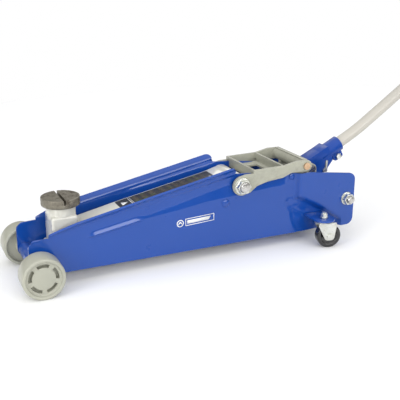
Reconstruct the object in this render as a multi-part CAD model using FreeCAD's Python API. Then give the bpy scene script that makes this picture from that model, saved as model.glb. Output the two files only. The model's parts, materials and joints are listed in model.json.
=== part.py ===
import FreeCAD, Part
import math
import os
from FreeCAD import Vector

# Hydraulic trolley jack with a low steel chassis, a lift arm and a pumping handle.
# Millimetres and degrees. X runs along the jack to the handle end, +Y is its right
# side and +Z is up. X is written from the front axle. Z is written from a level just
# above the floor, so the chassis keeps its shape when its ride height is changed. The
# whole model is moved once, at the end, so that its origin is the middle of its base.

# ---- general fits ----
running_fit = 0.05        # radial gap of a shaft that turns or slides in its hole
seat_gap = 0.3            # gap between faces that pass or sit beside each other
face_gap = 0.05           # gap between clamped or welded faces
washer_thickness = 2.5
weld_gap = 0.02           # gap between pieces that are welded together
far = 150.0               # long enough to cut right through the jack

# ---- chassis plates ----
floor_drop = 3.0          # the floor lies this far below z = 0
plate_thickness = 4.0
plate_outer_y = 57.0
rear_bay_step = 12.0      # the plates widen at the rear to hold the power unit
plate_bottom_z = 21.0
plate_nose_x = -15.0
plate_rear_x = 690.0
plate_rear_top_z = 139.0
plate_rear_low_z = 24.0
plate_nose_top_z = 82.0
bay_top = (575.0, 154.5)
plate_foot_x = 656.0      # rear end of the caster's pocket
pocket_front_z = 103.0
pocket_middle = (616.0, 66.0)
pocket_rear_z = 38.0
flange_start_x = 24.0
flange_end_x = 406.0
flange_slope = math.radians(11.5)
flange_root_z = 92.6      # height of the bend at the front end of the flange
flange_bend_radius = 10.0
flange_lean = math.radians(45)
flange_lip = 6.5
flange_blank_rise = 16.0
flange_end_radius = 13.0
rear_bay_front_x = 548.0
rear_corner_radius = 16.0
bead_height = 3.0
bead_width = 12.0
bead_line = [(102.0, 84.0), (210.0, 103.0), (340.0, 118.0)]
side_hole = (596.0, 130.0)
side_hole_radius = 4.0

# ---- front axle and wheels ----
wheel_radius = 39.5
wheel_width = 43.0
wheel_gap = 9.5           # space between a plate and its front wheel
axle_radius = 8.0
axle_tube_wall = 6.0
axle_collar_wall = 5.0
wheel_cap = 8.5           # solid face outside the blind axle bore
wheel_rim = 7.0
wheel_face_recess = 6.0
wheel_hollow_depth = 22.0
wheel_hub_radius = 15.0
wheel_web_slots = 5
wheel_slot_inner = 21.5
wheel_slot_outer = 28.0
wheel_slot_depth = 16.8
wheel_slot_half_angle = math.radians(26)
wheel_edge_radius = 2.5

# ---- rear casters ----
caster_pivot_x = 594.5
caster_reach = 41.5       # from the plate's face to the caster's pivot
caster_trail = 10.0
caster_yaw = math.radians(14)
caster_radius = 25.8
caster_width = 21.0
caster_side_gap = 1.5
caster_axle_radius = 4.0
caster_axle_head = 6.0
caster_hub_radius = 8.0
caster_dish_radius = 17.0
caster_dish_depth = 2.0
caster_stem_radius = 5.0
fork_thickness = 2.5
fork_crown_radius = 19.0
fork_race_radius = 17.0
fork_drop = 2.8           # fork crown below the shelf
shelf_bottom_z = 56.5
shelf_thickness = 4.0
shelf_radius = 23.0
stem_nut_flats = 13.0
stem_collar = 4.0
stem_nut_height = 6.0
stem_head_radius = 8.0
stem_end = 13.0           # height of the kingpin above its shelf

# ---- lift arm and its parallel links ----
arm_pivot = (418.0, 143.5)
arm_length = 358.8
arm_rest_angle = math.radians(11.3)
arm_lift_angle = 62.0
arm_shaft_radius = 11.0
arm_boss_wall = 9.0       # round the shaft, on the arm and on the yoke
arm_nut_height = 10.0
arm_shaft_overhang = 14.0
arm_spacer_wall = 5.0
arm_side_room = 15.0      # between a plate's inner face and the arm's boss
arm_cheek_half = 29.0
arm_cheek_thickness = 6.0
arm_top_height = 18.5     # top face above the line through both pivots
arm_top_thickness = 6.0
arm_top_half = 33.0
arm_front_radius = 18.0
arm_label_start = 118.0
arm_label_end = 325.0
arm_label_sides = (-14.0, 30.0)
arm_label_thickness = 0.4
link_offset = (-34.5, -33.2)   # from each arm pivot to the link pivot beside it
link_pin_radius = 6.0
link_eye_radius = 11.0
link_side_room = 4.0      # between a plate's inner face and its link
link_thickness = 6.0
link_depth = 15.0
link_stud_head = 9.0
stud_head_height = 2.5

# ---- saddle and pedestal ----
saddle_set_forward = 3.7  # saddle axis in front of the pedestal pin
saddle_top_z = 153.6
saddle_radius = 36.9
saddle_thickness = 16.7
saddle_slot_width = 5.0
saddle_slot_depth = 9.0
saddle_stem_radius = 12.5
saddle_stem_length = 26.0
pedestal_half = 29.0
pedestal_front_reach = 25.0
pedestal_rear_reach = 25.5
pedestal_shoulder_z = 120.0
pedestal_corner = 5.0
pedestal_skirt = 8.0
foot_side_room = 2.0      # between the pedestal's foot and a radius link
collar_radius = 28.0
pedestal_pin_radius = 8.0
pin_head = 3.0            # how far pin heads and clips stand out past a pin's radius
pin_head_thickness = 2.4

# ---- power unit ----
lug_drop = 60.0           # ram lug pin below the arm pivot
lug_pin_radius = 8.0
lug_eye_wall = 7.0
lug_ear_thickness = 8.0
crosshead_side = 1.0      # the crosshead is this much narrower than the ram, on each side
crosshead_wall = 7.0
crosshead_rear_wall = 9.0
ram_seat_wall = 4.0       # between the slot and the end of the ram
piston_length = 8.0
slot_play = 0.9           # side gap of the lug pin in the crosshead slot
ram_radius = 15.0
piston_step = 2.0
cylinder_wall = 9.0
tank_space = 12.0         # oil space round the cylinder
tank_wall = 3.0
tank_front_x = 468.0
gland_thickness = 10.0
gland_lip = 4.0
gland_foot_half = 36.0
cylinder_seat = 6.0
filler_boss_radius = 9.0
filler_radius = 5.0
filler_head_radius = 8.0
filler_head_height = 5.0
head_front_x = 560.0
head_rear_x = 600.0
block_rear_x = 658.0
block_top_z = 100.0
block_half = 30.0
handle_lug_radius = 12.0
handle_lug_thickness = 8.0
base_plate_thickness = 4.0
base_plate_front_x = 430.0
base_plate_rise = 2.0     # above the plates' bottom edges
base_bolt_x = [473.0, 580.0]
base_bolt_y = 28.0
base_bolt_radius = 4.0
base_bolt_head = 6.0
base_bolt_length = 20.0
cross_bar = (537.0, 147.0)
cross_bar_radius = 7.0
side_screw_head = 7.0
side_screw_radius = 4.0
side_screw_length = 12.0
plunger_x = 646.0
plunger_radius = 8.0
plunger_top_z = 131.0
plunger_stroke = 22.0
plunger_cap_radius = 12.5
plunger_cap_thickness = 6.0
plunger_sunk = 38.0       # length of plunger inside the block at rest
plunger_bore_depth = 42.0
spring_side_gap = 0.6
spring_end_gap = 0.2
spring_wire_radius = 1.1
spring_turns = 6
tie_bolt_x = 670.0
tie_bolt_z = 85.5
tie_bolt_radius = 8.0
tie_bolt_overhang = 18.0
tie_tube_wall = 3.0
tie_nut_height = 11.0
tie_washer_rim = 6.0
tie_nut_rim = 6.0

# ---- yoke ----
yoke_side_gap = 0.4       # between a plate and the yoke's cheek
yoke_cheek = 5.0
yoke_front_wall_x = 446.5
yoke_mid_wall_x = 514.5
yoke_wall = 5.0
yoke_floor_z = 153.0
yoke_floor_thickness = 4.0
yoke_front_wall_low_z = 167.0   # the walls reach the cheeks above these heights
yoke_mid_wall_low_z = 162.0
yoke_front_top_z = 172.8
yoke_mid_top_z = 174.0
yoke_window_half = 28.0
yoke_window_front = 18.0
yoke_window_rear = 14.0
yoke_pin = (569.0, 167.5)
yoke_tube_radius = 12.6
yoke_pin_radius = 6.0
yoke_rim_rise = 13.8
yoke_rim = (-6.0, 2.5)    # along the jack, from the rear pin
yoke_pin_overhang = 3.0
yoke_pin_rim = 1.5
rest_half_length = 10.0   # rests of the yoke on the pump body
rest_sides = (28.0, 36.0)
rest_gap = 0.1

# ---- handle and its socket ----
socket_pivot = (606.0, 147.2)
socket_pivot_radius = 6.0
socket_angle = math.radians(27.5)
handle_radius = 12.5
handle_wall = 2.0
socket_wall = 4.7
socket_cheek = 5.0
socket_throat = 38.0      # where the socket's tube starts, from the pivot
socket_mouth = 93.3       # distance of the open end from the pivot
clamp_along = 76.0
clamp_below = 7.5         # clamp bolt below the handle tube
clamp_half = 12.0
clamp_slit = 3.0
clamp_bolt_radius = 4.0
clamp_nut_flats = 12.0
clamp_nut_height = 6.0
handle_start = 44.0       # inner end of the handle tube, from the pivot
handle_lift_angle = 52.0
handle_bend_angle = math.radians(7.0)
handle_bend_radius = 450.0
handle_bend_start = 118.0
handle_upper_length = 880.0
grip_length = 170.0
grip_wall = 4.0
roller_radius = 6.0
roller_pin_radius = 3.0
roller_side_gap = 0.6
clip_thickness = 2.2
release_rod_radius = 3.5
release_ball_radius = 5.5
release_ball_gap = 0.6
release_cup_wall = 1.9
spindle_radius = 5.0
spindle_slope = math.radians(53)
rod_gap = 4.0             # the two release rods stop short of each other in the bend
knob_radius = 15.0
knob_length = 34.0
knob_flutes = 6
knob_flute_radius = 5.0
knob_gap = 1.5
spindle_length = 46.0

parts = {}


def add(name, *solids):
    """Keeps the solids of one named piece."""
    shape = solids[0] if len(solids) == 1 else Part.makeCompound(list(solids))
    parts[name] = shape


def add_pair(name, make):
    """Keeps a left piece made by make(), and its mirror image on the right."""
    left = make()
    add(name + "_left", left)
    add(name + "_right", mirrored(left))


def mirrored(shape):
    return shape.mirror(Vector(0, 0, 0), Vector(0, 1, 0))


def both_sides(shape):
    return [shape, mirrored(shape)]


def box(x0, x1, y0, y1, z0, z1):
    return Part.makeBox(x1 - x0, y1 - y0, z1 - z0, Vector(x0, y0, z0))


def bar_y(x, z, radius, y0, y1):
    """Round bar along Y."""
    return Part.makeCylinder(radius, y1 - y0, Vector(x, y0, z), Vector(0, 1, 0))


def bar_x(y, z, radius, x0, x1):
    """Round bar along X."""
    return Part.makeCylinder(radius, x1 - x0, Vector(x0, y, z), Vector(1, 0, 0))


def bar_z(x, y, radius, z0, z1):
    """Upright round bar."""
    return Part.makeCylinder(radius, z1 - z0, Vector(x, y, z0), Vector(0, 0, 1))


def hole_y(centre, shaft_radius):
    """Cutter along Y, right through the jack, for a shaft that turns in it."""
    return bar_y(centre[0], centre[1], shaft_radius + running_fit, -far, far)


def bar_between(start, end, radius):
    """Round bar from one point to another."""
    direction = end.sub(start)
    return Part.makeCylinder(radius, direction.Length, start, direction)


def hexagon_y(x, z, across_flats, y0, y1):
    """Hexagonal nut or bolt head along Y."""
    wire = Part.makePolygon([Vector(x + u, y0, z + v) for u, v in hexagon(across_flats)])
    return Part.Face(wire).extrude(Vector(0, y1 - y0, 0))


def hexagon_z(x, y, across_flats, z0, z1):
    """Upright hexagonal nut."""
    wire = Part.makePolygon([Vector(x + u, y + v, z0) for u, v in hexagon(across_flats)])
    return Part.Face(wire).extrude(Vector(0, 0, z1 - z0))


def hexagon(across_flats):
    """Closed outline of a hexagon round the origin."""
    reach = across_flats / math.sqrt(3)
    turns = [math.radians(60 * i) for i in range(7)]
    return [(reach * math.cos(turn), reach * math.sin(turn)) for turn in turns]


def circle_edges(shape):
    return [e for e in shape.Edges if e.Curve.TypeId == "Part::GeomCircle"]


def rounded_face(corners, place):
    """Face of a closed outline. Each corner is (u, v) or (u, v, radius); place puts u, v in space."""
    count = len(corners)
    points = [Vector(c[0], c[1], 0) for c in corners]
    edges = []
    last = None
    first = None
    for i in range(count):
        corner = points[i]
        radius = corners[i][2] if len(corners[i]) == 3 else 0
        back = points[i - 1].sub(corner).normalize()
        ahead = points[(i + 1) % count].sub(corner).normalize()
        if radius:
            half = back.getAngle(ahead) / 2
            reach = radius / math.tan(half)
            start = corner.add(back * reach)
            end = corner.add(ahead * reach)
            inward = back.add(ahead).normalize()
            middle = corner.add(inward * (radius / math.sin(half) - radius))
            arc = Part.Arc(place(start), place(middle), place(end)).toShape()
        else:
            start = end = corner
            arc = None
        if last is not None and last.distanceToPoint(start) > 1e-6:
            edges.append(Part.LineSegment(place(last), place(start)).toShape())
        if arc:
            edges.append(arc)
        if first is None:
            first = start
        last = end
    if last.distanceToPoint(first) > 1e-6:
        edges.append(Part.LineSegment(place(last), place(first)).toShape())
    return Part.Face(Part.Wire(edges))


def slab_y(corners, y0, y1):
    """Plate with an outline in X and Z, between two Y faces."""
    return rounded_face(corners, lambda p: Vector(p.x, y0, p.y)).extrude(Vector(0, y1 - y0, 0))


def local_frame(origin, angle):
    """Maps along-line and above-line distances to a point on the jack's middle plane."""
    def place(along, above, y=0.0):
        return Vector(origin[0] + along * math.cos(angle) - above * math.sin(angle), y,
                      origin[1] + along * math.sin(angle) + above * math.cos(angle))
    return place


def slab_local(place, corners, y0, y1):
    """Plate across Y whose outline is given in a tilted frame."""
    face = rounded_face(corners, lambda p: place(p.x, p.y, y0))
    return face.extrude(Vector(0, y1 - y0, 0))


def fuse(first, *others):
    return first.fuse(list(others)).removeSplitter()


# ---- places that follow from the driving dimensions ----
plate_inner_y = plate_outer_y - plate_thickness
rear_bay_outer_y = plate_outer_y + rear_bay_step
rear_bay_inner_y = rear_bay_outer_y - plate_thickness
front_axle = (0.0, wheel_radius - floor_drop)
wheel_inner_y = plate_outer_y + wheel_gap
wheel_outer_y = wheel_inner_y + wheel_width
caster_pivot_y = plate_outer_y + caster_reach
caster_axle_z = caster_radius - floor_drop
shelf_top_z = shelf_bottom_z + shelf_thickness
crown_top_z = shelf_bottom_z - fork_drop
crown_low_z = crown_top_z - fork_thickness
fork_inner = caster_width / 2 + caster_side_gap
arm_front = (arm_pivot[0] - arm_length * math.cos(arm_rest_angle),
             arm_pivot[1] - arm_length * math.sin(arm_rest_angle))
arm_boss_radius = arm_shaft_radius + arm_boss_wall
arm_boss_half = plate_inner_y - arm_side_room
arm_top_low = arm_top_height - arm_top_thickness
link_outer_y = plate_inner_y - link_side_room
link_inner_y = link_outer_y - link_thickness
link_rear = (arm_pivot[0] + link_offset[0], arm_pivot[1] + link_offset[1])
link_front = (arm_front[0] + link_offset[0], arm_front[1] + link_offset[1])
half_lift = math.radians(arm_lift_angle / 2)
lug_pin = (arm_pivot[0] + lug_drop * math.sin(half_lift),
           arm_pivot[1] - lug_drop * math.cos(half_lift))
lug_eye_radius = lug_pin_radius + lug_eye_wall
crosshead_half = ram_radius - crosshead_side
lug_ear_inner = ram_radius + 1
lug_ear_outer = lug_ear_inner + lug_ear_thickness
base_plate_z = plate_bottom_z + base_plate_rise
unit_low_z = base_plate_z + base_plate_thickness + face_gap
ram_z = arm_pivot[1] - lug_drop * (1 + math.cos(half_lift)) / 2
ram_rise = lug_drop * (1 - math.cos(half_lift)) / 2
ram_stroke = 2 * lug_drop * math.sin(half_lift)
cylinder_bore_radius = ram_radius + piston_step
cylinder_outer_radius = cylinder_bore_radius + cylinder_wall
tank_radius = cylinder_outer_radius + tank_space
unit_top_z = ram_z + tank_radius
gland_end_x = tank_front_x + gland_thickness
tie_tube_radius = tie_bolt_radius + tie_tube_wall
yoke_inner_y = plate_outer_y + yoke_side_gap
yoke_outer_y = yoke_inner_y + yoke_cheek
arm_place = local_frame(arm_front, arm_rest_angle)
socket_place = local_frame(socket_pivot, socket_angle)
socket_tube_radius = handle_radius + socket_wall
socket_half = socket_tube_radius - 0.2
socket_inner = socket_half - socket_cheek
handle_lug_inner = socket_half + 1
handle_lug_outer = handle_lug_inner + handle_lug_thickness
roller_half = socket_inner - roller_side_gap
clamp_point = socket_place(clamp_along, -handle_radius - clamp_below)
roller_place = (plunger_x, plunger_top_z + roller_radius)
saddle_x = arm_front[0] - saddle_set_forward
saddle_bottom_z = saddle_top_z - saddle_thickness
pedestal_front_x = saddle_x - pedestal_front_reach
pedestal_rear_x = saddle_x + pedestal_rear_reach
handle_bend_end_angle = socket_angle + handle_bend_angle
release_cup_radius = release_ball_radius + release_ball_gap + release_cup_wall


def flange_z(x):
    """Height of the bend that starts the outward flange of a side plate."""
    return flange_root_z + (x - flange_start_x) * math.tan(flange_slope)


# ---- chassis ----
def rear_bay_outline():
    """Outline of the widened rear bay. Its lower edge runs over the caster's pocket."""
    return [(rear_bay_front_x, pocket_front_z, 4), (rear_bay_front_x, bay_top[1] - 0.5), (*bay_top, 30),
            (plate_rear_x, plate_rear_top_z, rear_corner_radius),
            (plate_rear_x, plate_rear_low_z, rear_corner_radius),
            (plate_foot_x, plate_rear_low_z), (plate_foot_x, pocket_rear_z, 6), (*pocket_middle, 8)]


def rear_bay_inside():
    """Outline of the bay's inside: one wall in from its front and lower edges, open elsewhere."""
    thick = plate_thickness
    over = 20
    return [(rear_bay_front_x + thick, pocket_front_z + thick / 2, 4),
            (rear_bay_front_x + thick, bay_top[1] + over), (plate_rear_x + over, bay_top[1] + over),
            (plate_rear_x + over, plate_rear_low_z - over), (plate_foot_x + thick, plate_rear_low_z - over),
            (plate_foot_x + thick, pocket_rear_z + thick / 2, 6),
            (pocket_middle[0] + thick, pocket_middle[1] + thick / 2, 8)]


def side_plate():
    """Pressed plate: flat wall, widened rear bay, leaning flange along the top and a bead."""
    lap = 8                 # the flat wall runs this far under the bay
    foot = plate_foot_x - 6
    flat = [(plate_nose_x, plate_bottom_z + 3, 14), (plate_nose_x, plate_nose_top_z, 9),
            (plate_nose_x + 10, plate_nose_top_z + 9, 6), (flange_start_x, flange_z(flange_start_x)),
            (flange_end_x - 8, flange_z(flange_end_x - 8)), (flange_end_x, flange_z(flange_end_x) - 3),
            (450, 164.5, 20), (530, 153), (rear_bay_front_x + lap, 151),
            (rear_bay_front_x + lap, pocket_front_z, 4), (pocket_middle[0] + 4, pocket_middle[1] + 2, 8),
            (foot, pocket_rear_z + 2, 6), (foot, plate_bottom_z + 6, 3), (576, plate_bottom_z, 20),
            (20, plate_bottom_z, 30)]
    wall = slab_y(flat, -plate_outer_y, -plate_inner_y)
    bay = slab_y(rear_bay_outline(), -rear_bay_outer_y, -plate_inner_y)
    inside = slab_y(rear_bay_inside(), -rear_bay_inner_y, -plate_inner_y + 1)
    plate = fuse(wall.cut(inside), bay.cut(inside), plate_flange(), plate_bead())
    return plate.cut([hole_y(front_axle, axle_radius), hole_y(arm_pivot, arm_shaft_radius),
                      hole_y(link_rear, link_pin_radius), hole_y((tie_bolt_x, tie_bolt_z), tie_bolt_radius),
                      bar_y(*side_hole, side_hole_radius, -far, far), hole_y(cross_bar, side_screw_radius)])


def plate_flange():
    """Outward-leaning lip along the top of a plate, with a rounded bend and rounded ends."""
    centre = plate_outer_y + flange_bend_radius

    def bend(radius, part_of_turn):
        angle = flange_lean * part_of_turn
        return (centre - radius * math.cos(angle), radius * math.sin(angle))

    def lip_end(point):
        return (point[0] + flange_lip * math.sin(flange_lean),
                point[1] + flange_lip * math.cos(flange_lean))

    line = local_frame((0, flange_z(0)), flange_slope)

    def place(point):
        return line(0, point[1], -point[0])

    outer = [bend(flange_bend_radius, k) for k in (0, 0.5, 1)]
    inner = [bend(flange_bend_radius + plate_thickness, k) for k in (0, 0.5, 1)]
    edges = [Part.Arc(*[place(p) for p in outer]).toShape(),
             Part.LineSegment(place(outer[2]), place(lip_end(outer[2]))).toShape(),
             Part.LineSegment(place(lip_end(outer[2])), place(lip_end(inner[2]))).toShape(),
             Part.LineSegment(place(lip_end(inner[2])), place(inner[2])).toShape(),
             Part.Arc(*[place(p) for p in reversed(inner)]).toShape(),
             Part.LineSegment(place(inner[0]), place(outer[0])).toShape()]
    length = flange_end_x / math.cos(flange_slope) + plate_thickness
    sweep = line(length, 0).sub(line(0, 0))
    lip = Part.Face(Part.Wire(edges)).extrude(sweep)
    start, end = flange_start_x, flange_end_x
    trim = slab_y([(start, flange_z(start) - 5),
                   (start, flange_z(start) + flange_blank_rise, flange_end_radius),
                   (end, flange_z(end) + flange_blank_rise, flange_end_radius),
                   (end, flange_z(end) - 5)], -far, 0)
    return lip.common(trim)


def plate_bead():
    """Raised stiffening bead that follows the flange along the front half of the plate."""
    half = bead_width / 2
    low = [(x, z - half) for x, z in bead_line]
    high = [(x, z + half) for x, z in reversed(bead_line)]
    bends = [half - 0.1, 60, half - 0.1]
    outline = [(*point, radius) for point, radius in zip(low + high, bends + bends)]
    return slab_y(outline, -plate_outer_y - bead_height, -plate_outer_y + 1)


def front_axle_parts():
    x, z = front_axle
    hole = hole_y(front_axle, axle_radius)
    end = wheel_outer_y - wheel_cap - seat_gap
    add("front_axle", bar_y(x, z, axle_radius, -end, end))
    reach = plate_inner_y - face_gap
    add("front_spreader_tube", bar_y(x, z, axle_radius + axle_tube_wall, -reach, reach).cut(hole))
    collar = bar_y(x, z, axle_radius + axle_collar_wall, -wheel_inner_y + seat_gap,
                   -plate_outer_y - face_gap)
    add("axle_collars", *both_sides(collar.cut(hole)))


def front_wheel():
    """Cast wheel: rim, recessed outer face with curved slots, hollow inner side, blind hub bore."""
    x, z = front_axle
    outer = -wheel_outer_y
    inner = -wheel_inner_y
    wheel = bar_y(x, z, wheel_radius, outer, inner)
    wheel = wheel.makeFillet(wheel_edge_radius, circle_edges(wheel))
    face = bar_y(x, z, wheel_radius - wheel_rim, outer - 1, outer + wheel_face_recess)
    hollow = bar_y(x, z, wheel_radius - wheel_rim + 1, inner - wheel_hollow_depth, inner + 1)
    hollow = hollow.cut(bar_y(x, z, wheel_hub_radius, outer, inner + 2))
    bore = bar_y(x, z, axle_radius + running_fit, outer + wheel_cap, inner + 1)
    slot_end = outer + wheel_slot_depth
    ring = bar_y(x, z, wheel_slot_outer, outer, slot_end).cut(bar_y(x, z, wheel_slot_inner, outer - 1,
                                                                    inner))
    slots = []
    for i in range(wheel_web_slots):
        middle = math.radians(360 * i / wheel_web_slots + 18)
        turns = [middle + wheel_slot_half_angle * k for k in (-1, 0, 1)]
        wedge = [(x, z)] + [(x + 2 * wheel_slot_outer * math.cos(t), z + 2 * wheel_slot_outer * math.sin(t))
                            for t in turns]
        slots.append(ring.common(slab_y(wedge, outer, inner)))
    return wheel.cut([face, hollow, bore] + slots)


def caster_turned(shape):
    """Turns a caster piece, made with its fork facing along X at the pivot, to its place."""
    shape = shape.copy()
    shape.rotate(Vector(0, 0, 0), Vector(0, 0, 1), -math.degrees(caster_yaw))
    shape.translate(Vector(caster_pivot_x, -caster_pivot_y, 0))
    return shape


def caster_shelf():
    """Horizontal plate with a round end that carries the caster, welded to the side plate."""
    x, y = caster_pivot_x, -caster_pivot_y
    disc = bar_z(x, y, shelf_radius, shelf_bottom_z, shelf_top_z)
    bridge = box(x - shelf_radius, x + shelf_radius, y, -plate_outer_y - weld_gap, shelf_bottom_z,
                 shelf_top_z)
    return fuse(disc, bridge).cut(bar_z(x, y, caster_stem_radius + running_fit, 0, far))


def caster_fork():
    """Pressed fork with a round top and two cheeks that narrow to the axle."""
    outside = fork_inner + fork_thickness
    top = crown_top_z
    reach = caster_trail + 8
    crown = fuse(bar_z(0, 0, fork_crown_radius, crown_low_z, top),
                 box(0, reach, -outside, outside, crown_low_z, top))
    heel = -fork_crown_radius + 4
    toe = caster_trail + 14
    low = caster_axle_z - 8
    cheek = slab_y([(heel, top, 3), (heel, top - 7, 4), (caster_trail - 9, low, 8), (caster_trail + 9, low,
                                                                                     8),
                    (toe, top - 7, 4), (toe, top, 3)], -outside, -fork_inner)
    race = bar_z(0, 0, fork_race_radius, top - 0.5, shelf_bottom_z - seat_gap)
    return fuse(crown, cheek, mirrored(cheek), race).cut([
        hole_y((caster_trail, caster_axle_z), caster_axle_radius),
        bar_z(0, 0, caster_stem_radius + running_fit, top - 10, top + 10)])


def caster_axle():
    outside = fork_inner + fork_thickness
    axle = bar_y(caster_trail, caster_axle_z, caster_axle_radius, -outside - 1, outside + 1)
    head = bar_y(caster_trail, caster_axle_z, caster_axle_head, -outside - washer_thickness,
                 -outside - face_gap)
    return fuse(axle, head, mirrored(head))


def caster_wheel():
    half = caster_width / 2
    wheel = bar_y(caster_trail, caster_axle_z, caster_radius, -half, half)
    wheel = wheel.makeFillet(3, circle_edges(wheel))
    hub = bar_y(caster_trail, caster_axle_z, caster_hub_radius, -half - 1, half + 1)
    dish = bar_y(caster_trail, caster_axle_z, caster_dish_radius, -half - 1, -half + caster_dish_depth)
    wheel = fuse(wheel.cut([dish, mirrored(dish)]), hub)
    return wheel.cut(hole_y((caster_trail, caster_axle_z), caster_axle_radius))


def caster_kingpin():
    """Bolt that a fork turns on: low head under the crown, collar and nut on the shelf."""
    head = bar_z(0, 0, stem_head_radius, crown_low_z - 2, crown_low_z - seat_gap)
    stem = bar_z(0, 0, caster_stem_radius, crown_low_z - 1, shelf_top_z + stem_end)
    nut_low = shelf_top_z + stem_collar
    collar = bar_z(0, 0, stem_head_radius, shelf_top_z + 0.1, nut_low)
    nut = hexagon_z(0, 0, stem_nut_flats, nut_low, nut_low + stem_nut_height)
    return fuse(head, stem, collar, nut)


# ---- lift arm ----
def lift_arm():
    """Inverted channel with a cross boss at the rear and a ram lug below it."""
    length = arm_length
    half = arm_top_half
    boss = arm_boss_half
    side = [(30, -arm_cheek_half), (115, -half), (length - 37, -half, 20), (length - 14, -boss, 12),
            (length + 9, -boss, 6)]
    outline = side + [(along, -across, *radius) for along, across, *radius in reversed(side)]
    deck = rounded_face(outline, lambda p: arm_place(p.x, arm_top_low, p.y))
    deck = deck.extrude(arm_place(0, arm_top_thickness).sub(arm_place(0, 0)))
    web_top = arm_top_low + 1
    inside = arm_cheek_half - arm_cheek_thickness
    cheek = slab_local(arm_place, [(0, -arm_front_radius), (110, -arm_front_radius, 60),
                                   (length - 60, -30, 30), (length, -arm_boss_radius), (length, web_top),
                                   (12, web_top), (0, arm_front_radius - 1)], -arm_cheek_half, -inside)
    nose = bar_y(*arm_front, arm_front_radius, -arm_cheek_half, -inside)
    cross = bar_y(*arm_pivot, arm_boss_radius, -boss, boss)
    down = local_frame(arm_pivot, -math.pi / 2 + half_lift)
    root = lug_eye_radius + 2
    ear = slab_local(down, [(-5, -root), (lug_drop, -lug_eye_radius), (lug_drop, lug_eye_radius), (-5,
                                                                                                   root)],
                     -lug_ear_outer, -lug_ear_inner)
    eye = bar_y(*lug_pin, lug_eye_radius, -lug_ear_outer, -lug_ear_inner)
    tie = slab_local(arm_place, [(70, -12), (78, -12), (78, web_top), (70, web_top)], -inside - 1,
                     inside + 1)
    arm = fuse(deck, cheek, mirrored(cheek), nose, mirrored(nose), cross, ear, mirrored(ear), eye,
               mirrored(eye),
               tie)
    return arm.cut([hole_y(arm_pivot, arm_shaft_radius), hole_y(arm_front, pedestal_pin_radius),
                    hole_y(lug_pin, lug_pin_radius)])


def arm_label():
    low = arm_top_height + weld_gap
    right, left = arm_label_sides
    face = rounded_face([(arm_label_start, right, 2), (arm_label_end, right, 2), (arm_label_end, left, 2),
                         (arm_label_start, left, 2)], lambda p: arm_place(p.x, low, p.y))
    return face.extrude(arm_place(0, arm_label_thickness).sub(arm_place(0, 0)))


def headed_pin(centre, radius, face_y, head_y):
    """Pin across the jack with a round head or clip outside each face_y."""
    pin = bar_y(*centre, radius, -face_y - pin_head, face_y + pin_head)
    head = bar_y(*centre, radius + pin_head, -face_y - head_y - pin_head_thickness, -face_y - head_y)
    return fuse(pin, head, mirrored(head))


def lift_arm_parts():
    add("lift_arm", lift_arm())
    add("arm_label", arm_label())
    add("pedestal_pin", headed_pin(arm_front, pedestal_pin_radius, arm_cheek_half, 0.1))
    add("ram_lug_pin", headed_pin(lug_pin, lug_pin_radius, lug_ear_outer, 0.1))
    end = yoke_outer_y + washer_thickness + arm_shaft_overhang
    add("arm_pivot_shaft", bar_y(*arm_pivot, arm_shaft_radius, -end, end))
    spacer = bar_y(*arm_pivot, arm_shaft_radius + arm_spacer_wall, -plate_inner_y + face_gap,
                   -arm_boss_half - seat_gap)
    add("arm_spacers", *both_sides(spacer.cut(hole_y(arm_pivot, arm_shaft_radius))))
    washer = washer_y(arm_pivot, arm_shaft_radius, 6, -yoke_outer_y - face_gap)
    nut = nut_y(arm_pivot, arm_shaft_radius, 4, -yoke_outer_y - washer_thickness, arm_nut_height)
    add("arm_flange_nuts", *both_sides(fuse(nut, washer)))


def washer_y(centre, shaft, rim, face_y):
    """Washer on the left side whose inner face is at face_y."""
    ring = bar_y(*centre, shaft + rim, face_y - washer_thickness, face_y)
    return ring.cut(hole_y(centre, shaft))


def nut_y(centre, shaft, rim, face_y, height):
    """Nut on the left side whose inner face is at face_y; rim is its flats less the shaft."""
    return hexagon_y(*centre, 2 * shaft + rim, face_y - height, face_y).cut(hole_y(centre, shaft))


def radius_link():
    """Flat bar between two eyes that keeps the pedestal upright."""
    line = local_frame(link_front, arm_rest_angle)
    half = link_depth / 2
    web = slab_local(line, [(0, -half), (arm_length, -half), (arm_length, half), (0, half)],
                     -link_outer_y, -link_inner_y)
    eyes = [bar_y(*p, link_eye_radius, -link_outer_y, -link_inner_y) for p in (link_front, link_rear)]
    return fuse(web, *eyes).cut([hole_y(p, link_pin_radius) for p in (link_front, link_rear)])


def link_stud():
    """Riveted stud in the side plate that the link turns on."""
    end = link_inner_y - 2
    stud = bar_y(*link_rear, link_pin_radius, -plate_outer_y - 1, -end)
    head = bar_y(*link_rear, link_stud_head, -plate_outer_y - stud_head_height, -plate_outer_y - face_gap)
    collar = bar_y(*link_rear, link_stud_head, -plate_inner_y + face_gap, -link_outer_y - seat_gap)
    clip = bar_y(*link_rear, link_pin_radius + 2, -link_inner_y + seat_gap, -end)
    return fuse(stud, head, collar, clip)


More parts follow.
